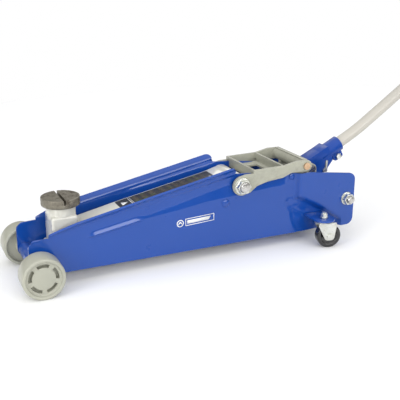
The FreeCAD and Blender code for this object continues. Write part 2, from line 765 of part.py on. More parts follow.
# ---- saddle and pedestal ----
def pedestal():
    """Cast post: square body, round collar, lug between the arm cheeks and a foot for the links."""
    half = pedestal_half
    front, rear = pedestal_front_x, pedestal_rear_x
    arm_x, arm_z = arm_front
    body_low = arm_z + arm_front_radius + 4
    body = box(front, rear, -half, half, body_low, pedestal_shoulder_z)
    upright = [e for e in body.Edges if abs(e.Vertexes[0].Z - e.Vertexes[-1].Z) > 1]
    body = body.makeFillet(pedestal_corner, upright)
    shoulder = [e for e in body.Edges if min(v.Z for v in e.Vertexes) > pedestal_shoulder_z - 0.1]
    body = body.makeFillet(pedestal_corner, shoulder)
    collar = bar_z(saddle_x, 0, collar_radius, pedestal_shoulder_z - 8, saddle_bottom_z - seat_gap)
    x, z = link_front
    skirt = box(front, front + pedestal_skirt, -half, half, z + 12, body_low + 1)
    lug_half = arm_cheek_half - arm_cheek_thickness - seat_gap
    lug = slab_y([(front + 2, z + 14), (arm_x + 14, arm_z - 16, 10), (arm_x + 18, arm_z, 8),
                  (arm_x + 18, body_low + 1), (front + 2, body_low + 1)], -lug_half, lug_half)
    foot_half = link_inner_y - foot_side_room
    foot = slab_y([(x - 8, z - 8, 5), (x + 7, z - 9, 5), (front + 8, z + 14, 4), (front + 8, z + 18),
                   (front, z + 18), (x - 8, z + 10, 5)], -foot_half, foot_half)
    eye = bar_y(x, z, link_eye_radius, -foot_half, foot_half)
    stem_hole = bar_z(saddle_x, 0, saddle_stem_radius + running_fit,
                      saddle_bottom_z - saddle_stem_length - 1, saddle_top_z)
    return fuse(body, collar, skirt, lug, foot, eye).cut([
        stem_hole, hole_y(arm_front, pedestal_pin_radius), hole_y(link_front, link_pin_radius)])


def saddle():
    """Round cast-iron saddle with one slot across it and a stem that turns in the pedestal."""
    disc = bar_z(saddle_x, 0, saddle_radius, saddle_bottom_z, saddle_top_z)
    disc = disc.makeFillet(2, circle_edges(disc))
    stem = bar_z(saddle_x, 0, saddle_stem_radius, saddle_bottom_z - saddle_stem_length, saddle_bottom_z + 1)
    half = saddle_slot_width / 2
    slot = box(saddle_x - half, saddle_x + half, -far, far, saddle_top_z - saddle_slot_depth,
               saddle_top_z + 1)
    return fuse(disc, stem).cut(slot)


def link_front_pin():
    """Pin through both links and the pedestal's foot, with a clip outside each link."""
    end = link_outer_y + 1.8
    pin = bar_y(*link_front, link_pin_radius, -end, end)
    clip = bar_y(*link_front, link_pin_radius + 2, -end, -link_outer_y - seat_gap)
    return fuse(pin, clip, mirrored(clip))


# ---- yoke ----
def yoke():
    """Cast frame over the power unit: two cheeks, two cross walls, a floor and a rear tube."""
    x, z = arm_pivot
    pin_x, pin_z = yoke_pin
    front_x, mid_x = yoke_front_wall_x, yoke_mid_wall_x
    half = yoke_wall / 2
    cheek = slab_y([(x, z - arm_boss_radius), (436, 127, 6), (452, 139, 12), (476, 145.5, 20), (512, 149,
                                                                                                20),
                    (534, 157.5, 10), (pin_x, pin_z - yoke_tube_radius), (pin_x + 2,
                                                                          pin_z + yoke_tube_radius),
                    (545, 180.5, 8), (mid_x, yoke_mid_top_z, 20), (front_x - half, yoke_front_top_z, 1),
                    (front_x - half, 166, 1), (426, 165.5, 6), (x, z + arm_boss_radius)],
                   -yoke_outer_y, -yoke_inner_y)
    boss = bar_y(x, z, arm_boss_radius, -yoke_outer_y, -yoke_inner_y)
    end = bar_y(pin_x, pin_z, yoke_tube_radius, -yoke_outer_y, -yoke_inner_y)
    side = fuse(cheek, boss, end)
    inside = plate_inner_y - seat_gap
    across = yoke_inner_y + 1
    low = yoke_floor_z
    walls = [box(front_x - half, front_x + half, -inside, inside, low, yoke_front_top_z),
             box(front_x - half, front_x + half, -across, across, yoke_front_wall_low_z, yoke_front_top_z),
             box(mid_x - half, mid_x + half, -inside, inside, low, yoke_mid_top_z),
             box(mid_x - half, mid_x + half, -across, across, yoke_mid_wall_low_z, yoke_mid_top_z)]
    floor = box(front_x, mid_x, -inside, inside, low, low + yoke_floor_thickness)
    window = box(front_x + yoke_window_front, mid_x - yoke_window_rear, -yoke_window_half, yoke_window_half,
                 low - 1, low + yoke_floor_thickness + 1)
    tube = bar_y(pin_x, pin_z, yoke_tube_radius, -across, across)
    rim = box(pin_x + yoke_rim[0], pin_x + yoke_rim[1], -across, across, pin_z, pin_z + yoke_rim_rise)
    frame = fuse(side, mirrored(side), *walls, floor.cut(window), tube, rim)
    return frame.cut([hole_y(arm_pivot, arm_shaft_radius), hole_y(yoke_pin, yoke_pin_radius)])


def yoke_rear_pin():
    end = yoke_outer_y + yoke_pin_overhang
    rod = bar_y(*yoke_pin, yoke_pin_radius, -end, end)
    head = bar_y(*yoke_pin, yoke_pin_radius + yoke_pin_rim, -end, -yoke_outer_y - face_gap)
    return fuse(rod, head, mirrored(head))


# ---- power unit ----
def ram_parts():
    """Ram with its piston, and its head with an upright slot that lets the lug pin rise and fall."""
    clear = lug_pin_radius + slot_play
    x = lug_pin[0]
    seat = x + clear + ram_seat_wall
    end = head_front_x + 2
    piston = bar_x(0, ram_z, cylinder_bore_radius - running_fit, end - piston_length, end)
    add("ram", fuse(bar_x(0, ram_z, ram_radius, seat, end), piston))
    low = ram_z - ram_rise - clear
    high = ram_z + ram_rise + clear
    front = x - clear - crosshead_wall
    rear = x + clear + crosshead_rear_wall
    block = slab_y([(front, low - crosshead_wall, 6), (rear, low - crosshead_wall, 6),
                    (rear, high + crosshead_wall, 6), (front, high + crosshead_wall, 6)],
                   -crosshead_half, crosshead_half)
    corner = clear - 0.01
    slot = slab_y([(x - clear, low, corner), (x + clear, low, corner), (x + clear, high, corner),
                   (x - clear, high, corner)], -far, far)
    add("ram_crosshead", block.cut([slot, bar_x(0, ram_z, ram_radius + weld_gap, seat, rear + 1)]))


def cylinder_parts():
    front = tank_front_x
    face = gland_end_x + face_gap
    foot = box(front, gland_end_x, -gland_foot_half, gland_foot_half, unit_low_z, ram_z)
    cap = fuse(bar_x(0, ram_z, tank_radius + gland_lip, front, gland_end_x), foot)
    add("cylinder_gland", cap.cut([bar_x(0, ram_z, ram_radius + running_fit, front - 1, face)]
                                  + bolt_holes(base_bolt_x[0])))
    barrel = bar_x(0, ram_z, cylinder_outer_radius, face, head_front_x + cylinder_seat)
    add("ram_cylinder", barrel.cut(bar_x(0, ram_z, cylinder_bore_radius, front, head_rear_x)))
    space = bar_x(0, ram_z, tank_radius - tank_wall, front, head_front_x)
    plug_x = (yoke_front_wall_x + yoke_mid_wall_x) / 2 + 8
    top = unit_top_z
    tank = bar_x(0, ram_z, tank_radius, face, head_front_x - face_gap)
    boss = bar_z(plug_x, 0, filler_boss_radius, top - 5, top + 2)
    hole = bar_z(plug_x, 0, filler_radius + running_fit, top - 10, top + 5)
    add("oil_tank", fuse(tank.cut(space), boss.cut(space)).cut(hole))
    head_low = top + 2 + face_gap
    add("filler_plug", fuse(bar_z(plug_x, 0, filler_radius, top - 4, head_low),
                            bar_z(plug_x, 0, filler_head_radius, head_low, head_low + filler_head_height)))


def bolt_holes(x):
    """Holes for the two base bolts at x."""
    top = unit_low_z + base_bolt_length + 0.5
    return both_sides(bar_z(x, -base_bolt_y, base_bolt_radius + running_fit, 0, top))


def base_parts():
    """Cross plate under the power unit, welded between the side plates, and its four bolts."""
    inside = plate_inner_y - weld_gap
    plate = box(base_plate_front_x, head_rear_x + 4, -inside, inside, base_plate_z,
                base_plate_z + base_plate_thickness)
    add("base_plate", plate.cut(bolt_holes(base_bolt_x[0]) + bolt_holes(base_bolt_x[1])))
    bolts = []
    for x in base_bolt_x:
        shank = bar_z(x, -base_bolt_y, base_bolt_radius, base_plate_z - 1, unit_low_z + base_bolt_length)
        head = bar_z(x, -base_bolt_y, base_bolt_head, base_plate_z - 1.8, base_plate_z - face_gap)
        bolts += both_sides(fuse(shank, head))
    add("base_bolts", *bolts)


def spindle_point(distance):
    """Point on the release spindle's axis, below the handle pivot."""
    return Vector(socket_pivot[0] - distance * math.cos(spindle_slope), 0,
                  socket_pivot[1] - distance * math.sin(spindle_slope))


def pump_body():
    """Casting with the cylinder seat, plunger bore, release valve bore and the handle's two lugs."""
    low = unit_low_z
    top = unit_top_z
    head = slab_y([(head_front_x, low), (head_rear_x, low), (head_rear_x, top, 5), (head_front_x, top, 5)],
                  -tank_radius, tank_radius)
    join = head_rear_x - 1
    block = slab_y([(join, low + 12), (head_rear_x + 20, low + 12, 8), (block_rear_x, 52, 8),
                    (block_rear_x, block_top_z, 3), (join, block_top_z)], -block_half, block_half)
    x, z = socket_pivot
    root = block_top_z - 5
    lug = slab_y([(x - handle_lug_radius, root), (x + handle_lug_radius + 4, root), (x + handle_lug_radius,
                                                                                     z),
                  (x - handle_lug_radius, z)], -handle_lug_outer, -handle_lug_inner)
    lug = fuse(lug, bar_y(x, z, handle_lug_radius, -handle_lug_outer, -handle_lug_inner))
    rest = box(yoke_pin[0] - rest_half_length, yoke_pin[0] + rest_half_length, -rest_sides[1],
               -rest_sides[0],
               top - 5, yoke_pin[1] - yoke_tube_radius / 2)
    rest = rest.cut(bar_y(*yoke_pin, yoke_tube_radius + rest_gap, -far, far))
    body = fuse(head, block, lug, mirrored(lug), rest, mirrored(rest))
    cuts = [bar_x(0, ram_z, cylinder_outer_radius + running_fit, tank_front_x,
                  head_front_x + cylinder_seat),
            bar_z(plunger_x, 0, plunger_radius + running_fit, block_top_z - plunger_bore_depth, far),
            hole_y(socket_pivot, socket_pivot_radius),
            bar_between(spindle_point(15), spindle_point(spindle_length + 1), spindle_radius + running_fit)]
    return body.cut(cuts + bolt_holes(base_bolt_x[1]))


def plunger_parts():
    cap_low = plunger_top_z - plunger_cap_thickness
    rod = bar_z(plunger_x, 0, plunger_radius, block_top_z - plunger_sunk, plunger_top_z)
    cap = bar_z(plunger_x, 0, plunger_cap_radius, cap_low, plunger_top_z)
    cap = cap.makeFillet(1.5, circle_edges(cap))
    add("pump_plunger", fuse(rod, cap))
    coil_radius = plunger_radius + spring_side_gap + spring_wire_radius
    low = block_top_z + spring_wire_radius + spring_end_gap
    high = cap_low - spring_wire_radius - spring_end_gap
    helix = Part.makeHelix((high - low) / spring_turns, high - low, coil_radius)
    section = Part.Wire(Part.makeCircle(spring_wire_radius, Vector(coil_radius, 0, 0), Vector(0, 1, 0)))
    coil = Part.Wire(helix.Edges).makePipeShell([section], True, True)
    coil.translate(Vector(plunger_x, 0, low))
    add("plunger_spring", coil)


def release_spindle():
    """Valve needle with a round cup at the handle pivot that takes the ball of the release rod."""
    space = release_ball_radius + release_ball_gap
    rod = bar_between(spindle_point(7), spindle_point(spindle_length), spindle_radius)
    cup = bar_between(spindle_point(-4), spindle_point(release_cup_radius), release_cup_radius)
    mouth = bar_between(spindle_point(-5), spindle_point(0), space)
    return fuse(rod, cup).cut([mouth, Part.makeSphere(space, spindle_point(0))])


# ---- handle ----
def handle_socket():
    """Forged socket: two cheeks on the pivot, a tube for the handle and a clamp under it."""
    tube_radius = socket_tube_radius
    # the heel's lowest corners clear the plunger cap under them
    outline = [(-13.4, -2, 7), (-5, 18.5, 7), (socket_throat, tube_radius, 10), (60, tube_radius),
               (60, -tube_radius + 0.2, 6), (40.5, -26, 6), (32, -34.5, 4), (14, -27, 6)]
    body = slab_local(socket_place, outline, -socket_half, socket_half)
    roof = handle_radius - 0.2
    cavity = [(-40, -50), (42, -50), (42, roof, 3), (-4, roof), (-40, 30)]
    body = body.cut(slab_local(socket_place, cavity, -socket_inner, socket_inner))
    tube = bar_between(socket_place(socket_throat, 0), socket_place(socket_mouth, 0), tube_radius)
    front, rear = clamp_along - clamp_half, clamp_along + clamp_half
    low = -handle_radius - 2 * clamp_below
    boss = slab_local(socket_place, [(front, -10), (rear, -10), (rear, low, 5), (front, low, 5)],
                      -clamp_half, clamp_half)
    bore = bar_between(socket_place(socket_throat - 4, 0), socket_place(socket_mouth + 1, 0),
                       handle_radius + running_fit)
    past = socket_mouth + 2
    slit = slab_local(socket_place, [(60, -40), (past, -40), (past, -5), (60, -5)],
                      -clamp_slit / 2, clamp_slit / 2)
    return fuse(body, tube, boss).cut([bore, slit, hole_y((clamp_point.x, clamp_point.z),
                                                          clamp_bolt_radius),
                                       hole_y(socket_pivot, socket_pivot_radius),
                                       hole_y(roller_place, roller_pin_radius)])


def bend_point(angle):
    """Point on the handle's gentle bend where its slope is angle."""
    centre = socket_place(handle_bend_start, handle_bend_radius)
    return centre.add(Vector(math.sin(angle), 0, -math.cos(angle)) * handle_bend_radius)


def upper_place(distance, y=0.0, above=0.0):
    """Point on the upper straight of the handle, measured from the end of the bend."""
    bend_end = bend_point(handle_bend_end_angle)
    return local_frame((bend_end.x, bend_end.z), handle_bend_end_angle)(distance, above, y)


def handle_tube():
    """Tube that is straight in the socket, bends gently and is straight again."""
    start = socket_place(handle_start, 0)
    bend_start = bend_point(socket_angle)
    middle = bend_point(socket_angle + handle_bend_angle / 2)
    bend_end = bend_point(handle_bend_end_angle)
    path = Part.Wire([Part.LineSegment(start, bend_start).toShape(),
                      Part.Arc(bend_start, middle, bend_end).toShape(),
                      Part.LineSegment(bend_end, upper_place(handle_upper_length)).toShape()])

    def sweep(radius):
        ring = Part.Wire(Part.makeCircle(radius, start, bend_start.sub(start)))
        return path.makePipeShell([ring], True, False)

    return sweep(handle_radius).cut(sweep(handle_radius - handle_wall))


def clamp_parts():
    x, z = clamp_point.x, clamp_point.z
    seat = clamp_half + face_gap
    bolt = bar_y(x, z, clamp_bolt_radius, -clamp_half - 4, clamp_half + clamp_nut_height + 2)
    head = hexagon_y(x, z, clamp_nut_flats, -clamp_half - clamp_nut_height + 1, -seat)
    nut = hexagon_y(x, z, clamp_nut_flats, seat, clamp_half + clamp_nut_height)
    add("clamp_bolt", fuse(bolt, head), nut.cut(hole_y((x, z), clamp_bolt_radius)))


def handle_pivot_pins():
    """Two short pins, stopped short of the release joint in the middle of the socket."""
    x, z = socket_pivot
    pin = headed_pin(socket_pivot, socket_pivot_radius, handle_lug_outer, 0.1)
    gap = release_cup_radius + 3
    return pin.cut(box(x - 20, x + 20, -gap, gap, z - 20, z + 20)).Solids


def roller_parts():
    x, z = roller_place
    hole = hole_y(roller_place, roller_pin_radius)
    add("pump_roller", bar_y(x, z, roller_radius, -roller_half, roller_half).cut(hole))
    pin = bar_y(x, z, roller_pin_radius, -socket_half - 3, socket_half + 3)
    head = bar_y(x, z, roller_pin_radius + 2, socket_half + 0.1, socket_half + 2)
    add("roller_pin", fuse(pin, head))
    near = -socket_half - 0.4
    far_side = near - clip_thickness
    stem = slab_y([(x - 2.5, z - 7, 1), (x + 2.5, z - 7, 1), (x + 6, z + 22, 1), (x + 1, z + 23, 1)],
                  far_side, near)
    eye = bar_y(x, z, 2 * roller_pin_radius, far_side, near)
    add("roller_clip", fuse(stem, eye).cut(hole))


def grip():
    """Rubber grip over the upper end of the handle."""
    start = handle_upper_length - grip_length
    sleeve = bar_between(upper_place(start), upper_place(handle_upper_length), handle_radius + grip_wall)
    return sleeve.cut(bar_between(upper_place(start - 1), upper_place(handle_upper_length + 1),
                                  handle_radius + face_gap))


def release_parts():
    """Release drive: knob and upper rod, lower rod with a ball end, and the valve spindle."""
    pivot = socket_place(0, 0)
    rod = bar_between(pivot, socket_place(handle_bend_start + 20, 0), release_rod_radius)
    add("release_rod_lower", fuse(rod, Part.makeSphere(release_ball_radius, pivot)))
    end = handle_upper_length
    seat = end + 8
    add("release_rod_upper", bar_between(upper_place(rod_gap), upper_place(seat), release_rod_radius))
    knob = bar_between(upper_place(end + knob_gap), upper_place(end + knob_length), knob_radius)
    knob = knob.makeFillet(3, circle_edges(knob))
    flutes = []
    for i in range(knob_flutes):
        turn = 2 * math.pi * i / knob_flutes
        y = (knob_radius + 3) * math.cos(turn)
        above = (knob_radius + 3) * math.sin(turn)
        flutes.append(bar_between(upper_place(end + 6, y, above), upper_place(end + knob_length - 5, y,
                                                                              above),
                                  knob_flute_radius))
    bore = bar_between(upper_place(end), upper_place(seat + face_gap), release_rod_radius + weld_gap)
    add("release_knob", knob.cut(flutes + [bore]))
    add("release_spindle", release_spindle())


# ---- fasteners across the chassis ----
def tie_bolt_parts():
    x, z = tie_bolt_x, tie_bolt_z
    washer_face = rear_bay_outer_y + washer_thickness
    end = washer_face + tie_bolt_overhang
    add("rear_tie_bolt", bar_y(x, z, tie_bolt_radius, -end, end))
    reach = rear_bay_inner_y - face_gap
    tube = bar_y(x, z, tie_tube_radius, -reach, reach)
    add("rear_spreader_tube", tube.cut(hole_y((x, z), tie_bolt_radius)))
    washer = washer_y((x, z), tie_bolt_radius, tie_washer_rim, -rear_bay_outer_y - face_gap)
    add("tie_washers", *both_sides(washer))
    nut = nut_y((x, z), tie_bolt_radius, tie_nut_rim, -washer_face - 0.1, tie_nut_height)
    add("tie_nuts", *both_sides(nut))


def cross_bar_parts():
    reach = plate_inner_y - face_gap
    screw_end = -plate_inner_y + side_screw_length
    thread = bar_y(*cross_bar, side_screw_radius + running_fit, -far, screw_end + 1)
    add("upper_cross_bar", bar_y(*cross_bar, cross_bar_radius, -reach, reach).cut(both_sides(thread)))
    shank = bar_y(*cross_bar, side_screw_radius, -plate_outer_y - 1, screw_end)
    head = bar_y(*cross_bar, side_screw_head, -plate_outer_y - stud_head_height, -plate_outer_y - face_gap)
    add("side_screws", *both_sides(fuse(shank, head)))


add_pair("side_plate", side_plate)
front_axle_parts()
add_pair("front_wheel", front_wheel)
add_pair("caster_shelf", caster_shelf)
add_pair("caster_fork", lambda: caster_turned(caster_fork()))
add_pair("caster_axle", lambda: caster_turned(caster_axle()))
add_pair("caster_wheel", lambda: caster_turned(caster_wheel()))
add("caster_kingpins", *both_sides(caster_turned(caster_kingpin())))
add_pair("radius_link", radius_link)
add("link_studs", *both_sides(link_stud()))
tie_bolt_parts()
cross_bar_parts()
lift_arm_parts()
add("saddle_pedestal", pedestal())
add("saddle", saddle())
add("link_front_pin", link_front_pin())
add("yoke", yoke())
add("yoke_rear_pin", yoke_rear_pin())
ram_parts()
cylinder_parts()
add("pump_body", pump_body())
plunger_parts()
base_parts()
add("handle_socket", handle_socket())
add("handle_tube", handle_tube())
clamp_parts()
add("handle_pivot_pins", *handle_pivot_pins())
roller_parts()
add("handle_grip", grip())
release_parts()

front_end = parts["front_wheel_left"].optimalBoundingBox(False, False).XMin
rear_end = parts["release_knob"].optimalBoundingBox(False, False).XMax
origin_x = (front_end + rear_end) / 2
os.makedirs("parts", exist_ok=True)
for part_name, part_shape in parts.items():
    placed = part_shape.copy()
    placed.translate(Vector(-origin_x, 0, floor_drop))
    placed.exportStep(f"parts/{part_name}.step")
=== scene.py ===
import json
import math
import random

import bmesh
import bpy
from mathutils import Matrix, Vector, noise


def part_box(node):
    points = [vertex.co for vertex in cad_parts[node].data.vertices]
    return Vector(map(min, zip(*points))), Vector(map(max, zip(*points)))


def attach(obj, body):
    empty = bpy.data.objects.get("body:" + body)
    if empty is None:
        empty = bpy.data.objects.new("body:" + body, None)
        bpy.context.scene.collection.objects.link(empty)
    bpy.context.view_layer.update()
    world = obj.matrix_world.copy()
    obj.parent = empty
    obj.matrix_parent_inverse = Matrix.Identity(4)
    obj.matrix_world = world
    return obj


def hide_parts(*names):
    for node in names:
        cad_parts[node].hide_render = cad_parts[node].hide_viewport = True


# The looks of a hydraulic trolley jack: blue enamel chassis, grey cast yoke, cream arm
# and wheels, iron saddle. Sizes below are millimetres, counted along the jack from its
# front axle and upwards from a level just above the floor; spot() turns them into
# metres in the frame. Points in a turned piece's outline are (radius, place along its axis).

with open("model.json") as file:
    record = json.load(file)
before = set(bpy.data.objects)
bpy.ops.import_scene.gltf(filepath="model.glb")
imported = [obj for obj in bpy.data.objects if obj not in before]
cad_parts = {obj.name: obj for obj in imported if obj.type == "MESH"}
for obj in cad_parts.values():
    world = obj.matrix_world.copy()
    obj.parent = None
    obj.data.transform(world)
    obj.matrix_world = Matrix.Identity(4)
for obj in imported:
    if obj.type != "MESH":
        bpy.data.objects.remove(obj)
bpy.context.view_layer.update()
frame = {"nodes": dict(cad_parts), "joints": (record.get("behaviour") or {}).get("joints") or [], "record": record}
record = frame["record"]
slot_of_node = {entry["node"]: entry["material_slot"] for entry in record["subparts"]}
axle_low, axle_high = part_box("front_axle")
axle_x = (axle_low.x + axle_high.x) / 2
MM = 0.001

floor_drop = 3.0          # the floor lies this far below the level that heights start from

# ---- chassis plate, as pressed ----
plate_face_y = 57.0
plate_thickness = 4.0
plate_rear_x = 690.0
flange_start_x = 24.0
flange_end_x = 406.0
flange_slope = math.radians(11.5)
flange_root_z = 92.6
flange_bend_radius = 10.0
flange_lean = math.radians(45)
flange_width = 14.6
flange_full_x = 78.0      # the flange has its full width from here on
bend_blend = (0.5, 6.5)   # the fold dies out over this height below the flange's bend

# (x, height) of the pressed rib, and of the crease that carries on behind it
crease_line = [(90, 82), (210, 103), (285, 110.7), (340, 119), (400, 123), (460, 127.5), (540, 133)]
rib_height = 3.2
rib_face = 9.0            # height of the rib's face, which leans back upwards
rib_foot, rib_top = -2.2, 0.4     # the rib rises between these heights over the crease
rib_front = (97, 107)
rib_rear = (222, 185)
fold_slope = 0.18         # how far the sheet above the crease leans in, per unit of height
fold_limit = 4.3
fold_runs = [(190, 4), (280, 13), (340, 18), (402, 26), (500, 24)]     # (x, height of the fold)
fold_front = (170, 225)
fold_rear = (540, 512)

bay_step = 12.0
bay_front_x = 549.5
bay_waist_x = 656.0       # behind this the bay reaches down to the plate's lower edge
joggle_run = 9.0
pocket_depth = 1.2
pocket_front = [(27, 552), (39, 543), (68, 535), (93, 522), (110, 530)]     # (height, x) of its front edge
pocket_ramp = 5.0
pocket_top = (104, 98)

link_stud_place = (383.5, 110.3)
cross_bar_place = (537.0, 147.0)

# ---- wheels ----
wheel_radius = 39.5
wheel_axle_z = wheel_radius - floor_drop
wheel_outer_y = 109.5
wheel_width = 43.0
wheel_slots = 5
slot_radii = (21.5, 28.0)
slot_half_angle = math.radians(26)
slot_depth = 16.0
first_slot_angle = math.radians(18)
caster_radius = 25.8
caster_width = 21.0

# ---- saddle ----
saddle_plate = 16.7
saddle_slot_width = 5.2
saddle_slot_depth = 9.2
relief_depth = 0.6

# ---- printed graphics ----
print_low, print_high = 0.03, 0.08     # levels of the label's marks above its film
badge_slant = 0.055
badge_start_x = 276.0
badge_low, badge_high = 0.05, 0.3
line_height = 1.0
line_pitch = 2.1
column_gap = 4.0

# ---- floor, camera and lights ----
floor_radius = 1.9
view_azimuth = math.radians(-24.7)
view_elevation = math.radians(18.5)
view_distance = 1.487
view_lens = 64.74
sensor_width = 36.0
view_aim = (353.0, 0.0, 104.1)
sky_levels = [(0.42, 0.6), (0.44, 0.03), (0.56, 0.03), (0.60, 0.35), (0.80, 0.30), (0.86, 0.22)]


def spot(x, y, z):
    """Place in the frame, from millimetres along, across and up."""
    return Vector((axle_x + x * MM, y * MM, (z + floor_drop) * MM))


def smooth_step(value, low, high):
    """Rises from 0 at low to 1 at high, with soft ends; low may be the larger of the two."""
    part = min(max((value - low) / (high - low), 0.0), 1.0)
    return part * part * (3 - 2 * part)


# ---------------------------------------------------------------- shader node helpers
def put(tree, kind, inputs=None, **settings):
    """Adds a shader node; inputs maps a socket's name or number to a value or another socket."""
    made = tree.nodes.new("ShaderNode" + kind)
    for key, value in settings.items():
        setattr(made, key, value)
    for key, value in (inputs or {}).items():
        if isinstance(value, bpy.types.NodeSocket):
            tree.links.new(value, made.inputs[key])
        else:
            made.inputs[key].default_value = value
    return made


def new_group(name, takes, gives):
    """Node group with named inputs and outputs. Returns it with its two end nodes' sockets."""
    group = bpy.data.node_groups.new(name, "ShaderNodeTree")
    for label, kind, value in takes:
        socket = group.interface.new_socket(name=label, in_out="INPUT", socket_type="NodeSocket" + kind)
        socket.default_value = value
    for label, kind in gives:
        group.interface.new_socket(name=label, in_out="OUTPUT", socket_type="NodeSocket" + kind)
    start = group.nodes.new("NodeGroupInput").outputs
    end = group.nodes.new("NodeGroupOutput").inputs
    return group, start, end


def place_on_object(tree, stretch=(1, 1, 1)):
    """Object coordinates, stretched for streaks."""
    where = put(tree, "TexCoord").outputs["Object"]
    return put(tree, "Mapping", {"Vector": where, "Scale": stretch}).outputs[0]


def sum_of(tree, kind, first, second):
    """Math node on two values: ADD, SUBTRACT or MULTIPLY."""
    return put(tree, "Math", {0: first, 1: second}, operation=kind).outputs[0]


def tint(tree, factor, first, second, blend="MIX"):
    """Colour mixed from two, each a plain value or a socket."""
    mixer = put(tree, "Mix", data_type="RGBA", blend_type=blend, clamp_factor=True)
    for socket, value in ((mixer.inputs[0], factor), (mixer.inputs[6], first), (mixer.inputs[7], second)):
        if isinstance(value, bpy.types.NodeSocket):
            tree.links.new(value, socket)
        else:
            socket.default_value = value
    return mixer.outputs[2]


def ranged(tree, value, low, high, to_low=0.0, to_high=1.0):
    """Value stretched from one range to another and held inside it."""
    return put(tree, "MapRange", {0: value, 1: low, 2: high, 3: to_low, 4: to_high}).outputs[0]


def noise_value(tree, where, scale, detail=2.0, rough=0.5):
    return put(tree, "TexNoise", {"Vector": where, "Scale": scale, "Detail": detail,
                                  "Roughness": rough}).outputs[0]


# ---------------------------------------------------------------- effects
def enamel_group():
    """Sprayed paint: slow drift of tone, a little uneven gloss and fine orange peel."""
    group, start, end = new_group("sprayed_enamel", [
        ("Colour", "Color", (0.5, 0.5, 0.5, 1)), ("Tone drift", "Float", 0.15),
        ("Roughness", "Float", 0.3), ("Peel depth", "Float", 0.00002)],
        [("Colour", "Color"), ("Roughness", "Float"), ("Normal", "Vector")])
    where = place_on_object(group)
    drift = ranged(group, noise_value(group, where, 7.0, 3.0), 0.35, 0.7)
    deeper = tint(group, 1.0, start["Colour"], (0.62, 0.66, 0.72, 1), "MULTIPLY")
    share = sum_of(group, "MULTIPLY", drift, start["Tone drift"])
    group.links.new(tint(group, share, start["Colour"], deeper), end["Colour"])
    cloudy = ranged(group, noise_value(group, where, 35.0, 3.0), 0.3, 0.7, -0.05, 0.06)
    group.links.new(sum_of(group, "ADD", start["Roughness"], cloudy), end["Roughness"])
    peel = noise_value(group, where, 420.0, 1.0)
    bump = put(group, "Bump", {"Height": peel, "Distance": start["Peel depth"], "Strength": 1.0})
    group.links.new(bump.outputs[0], end["Normal"])
    return group


def casting_group():
    """Sand-cast skin: pits and grains under whatever covers it."""
    group, start, end = new_group("cast_skin", [
        ("Colour", "Color", (0.5, 0.5, 0.5, 1)), ("Pit colour", "Color", (0.1, 0.1, 0.1, 1)),
        ("Grain scale", "Float", 300.0), ("Grain depth", "Float", 0.0002),
        ("Pit share", "Float", 0.4), ("Roughness", "Float", 0.5)],
        [("Colour", "Color"), ("Roughness", "Float"), ("Normal", "Vector")])
    where = place_on_object(group)
    grains = put(group, "TexNoise", {"Vector": where, "Scale": start["Grain scale"], "Detail": 4.0,
                                     "Roughness": 0.6}).outputs[0]
    half_scale = sum_of(group, "MULTIPLY", start["Grain scale"], 0.35)
    lumps = put(group, "TexVoronoi", {"Vector": where, "Scale": half_scale}, feature="SMOOTH_F1").outputs[0]
    relief = sum_of(group, "ADD", grains, sum_of(group, "MULTIPLY", lumps, 0.6))
    bump = put(group, "Bump", {"Height": relief, "Distance": start["Grain depth"], "Strength": 1.0})
    group.links.new(bump.outputs[0], end["Normal"])
    pits = ranged(group, relief, 0.98, 0.55)
    mottle = ranged(group, noise_value(group, where, 28.0, 4.0, 0.6), 0.38, 0.66)
    dirty = sum_of(group, "MULTIPLY", sum_of(group, "MULTIPLY", pits, 0.8), start["Pit share"])
    share = sum_of(group, "MULTIPLY", dirty, sum_of(group, "ADD", mottle, 0.4))
    group.links.new(tint(group, share, start["Colour"], start["Pit colour"]), end["Colour"])
    group.links.new(sum_of(group, "ADD", start["Roughness"], sum_of(group, "MULTIPLY", share, 0.3)),
                    end["Roughness"])
    return group


def machined_group():
    """Turned, drawn or plated metal: fine streaks and a faint tarnish."""
    group, start, end = new_group("machined_metal", [
        ("Colour", "Color", (0.6, 0.6, 0.6, 1)), ("Tarnish", "Color", (0.3, 0.28, 0.25, 1)),
        ("Tarnish share", "Float", 0.3), ("Streak scale", "Float", 260.0), ("Roughness", "Float", 0.25)],
        [("Colour", "Color"), ("Roughness", "Float"), ("Normal", "Vector")])
    where = place_on_object(group, (1, 0.08, 1))
    streaks = put(group, "TexNoise", {"Vector": where, "Scale": start["Streak scale"],
                                      "Detail": 3.0}).outputs[0]
    clouds = ranged(group, noise_value(group, place_on_object(group), 60.0, 4.0), 0.4, 0.7)
    share = sum_of(group, "MULTIPLY", clouds, start["Tarnish share"])
    group.links.new(tint(group, share, start["Colour"], start["Tarnish"]), end["Colour"])
    uneven = sum_of(group, "MULTIPLY", sum_of(group, "SUBTRACT", streaks, 0.5), 0.22)
    group.links.new(sum_of(group, "ADD", start["Roughness"], uneven), end["Roughness"])
    bump = put(group, "Bump", {"Height": streaks, "Distance": 0.00003, "Strength": 0.6})
    group.links.new(bump.outputs[0], end["Normal"])
    return group


def rub_group():
    """Mask of the narrow rubbed line along outer edges, broken up by noise."""
    group, start, end = new_group("edge_rub", [
        ("Width", "Float", 0.0008), ("Amount", "Float", 0.5)], [("Mask", "Float")])
    soft = put(group, "Bevel", {"Radius": start["Width"]}, samples=4).outputs[0]
    true_normal = put(group, "NewGeometry").outputs["Normal"]
    turned = put(group, "VectorMath", {0: soft, 1: true_normal}, operation="DOT_PRODUCT").outputs["Value"]
    edge = ranged(group, turned, 0.985, 0.88)
    broken = ranged(group, noise_value(group, place_on_object(group), 180.0, 4.0, 0.65), 0.44, 0.62)
    group.links.new(sum_of(group, "MULTIPLY", sum_of(group, "MULTIPLY", edge, broken), start["Amount"]),
                    end["Mask"])
    return group


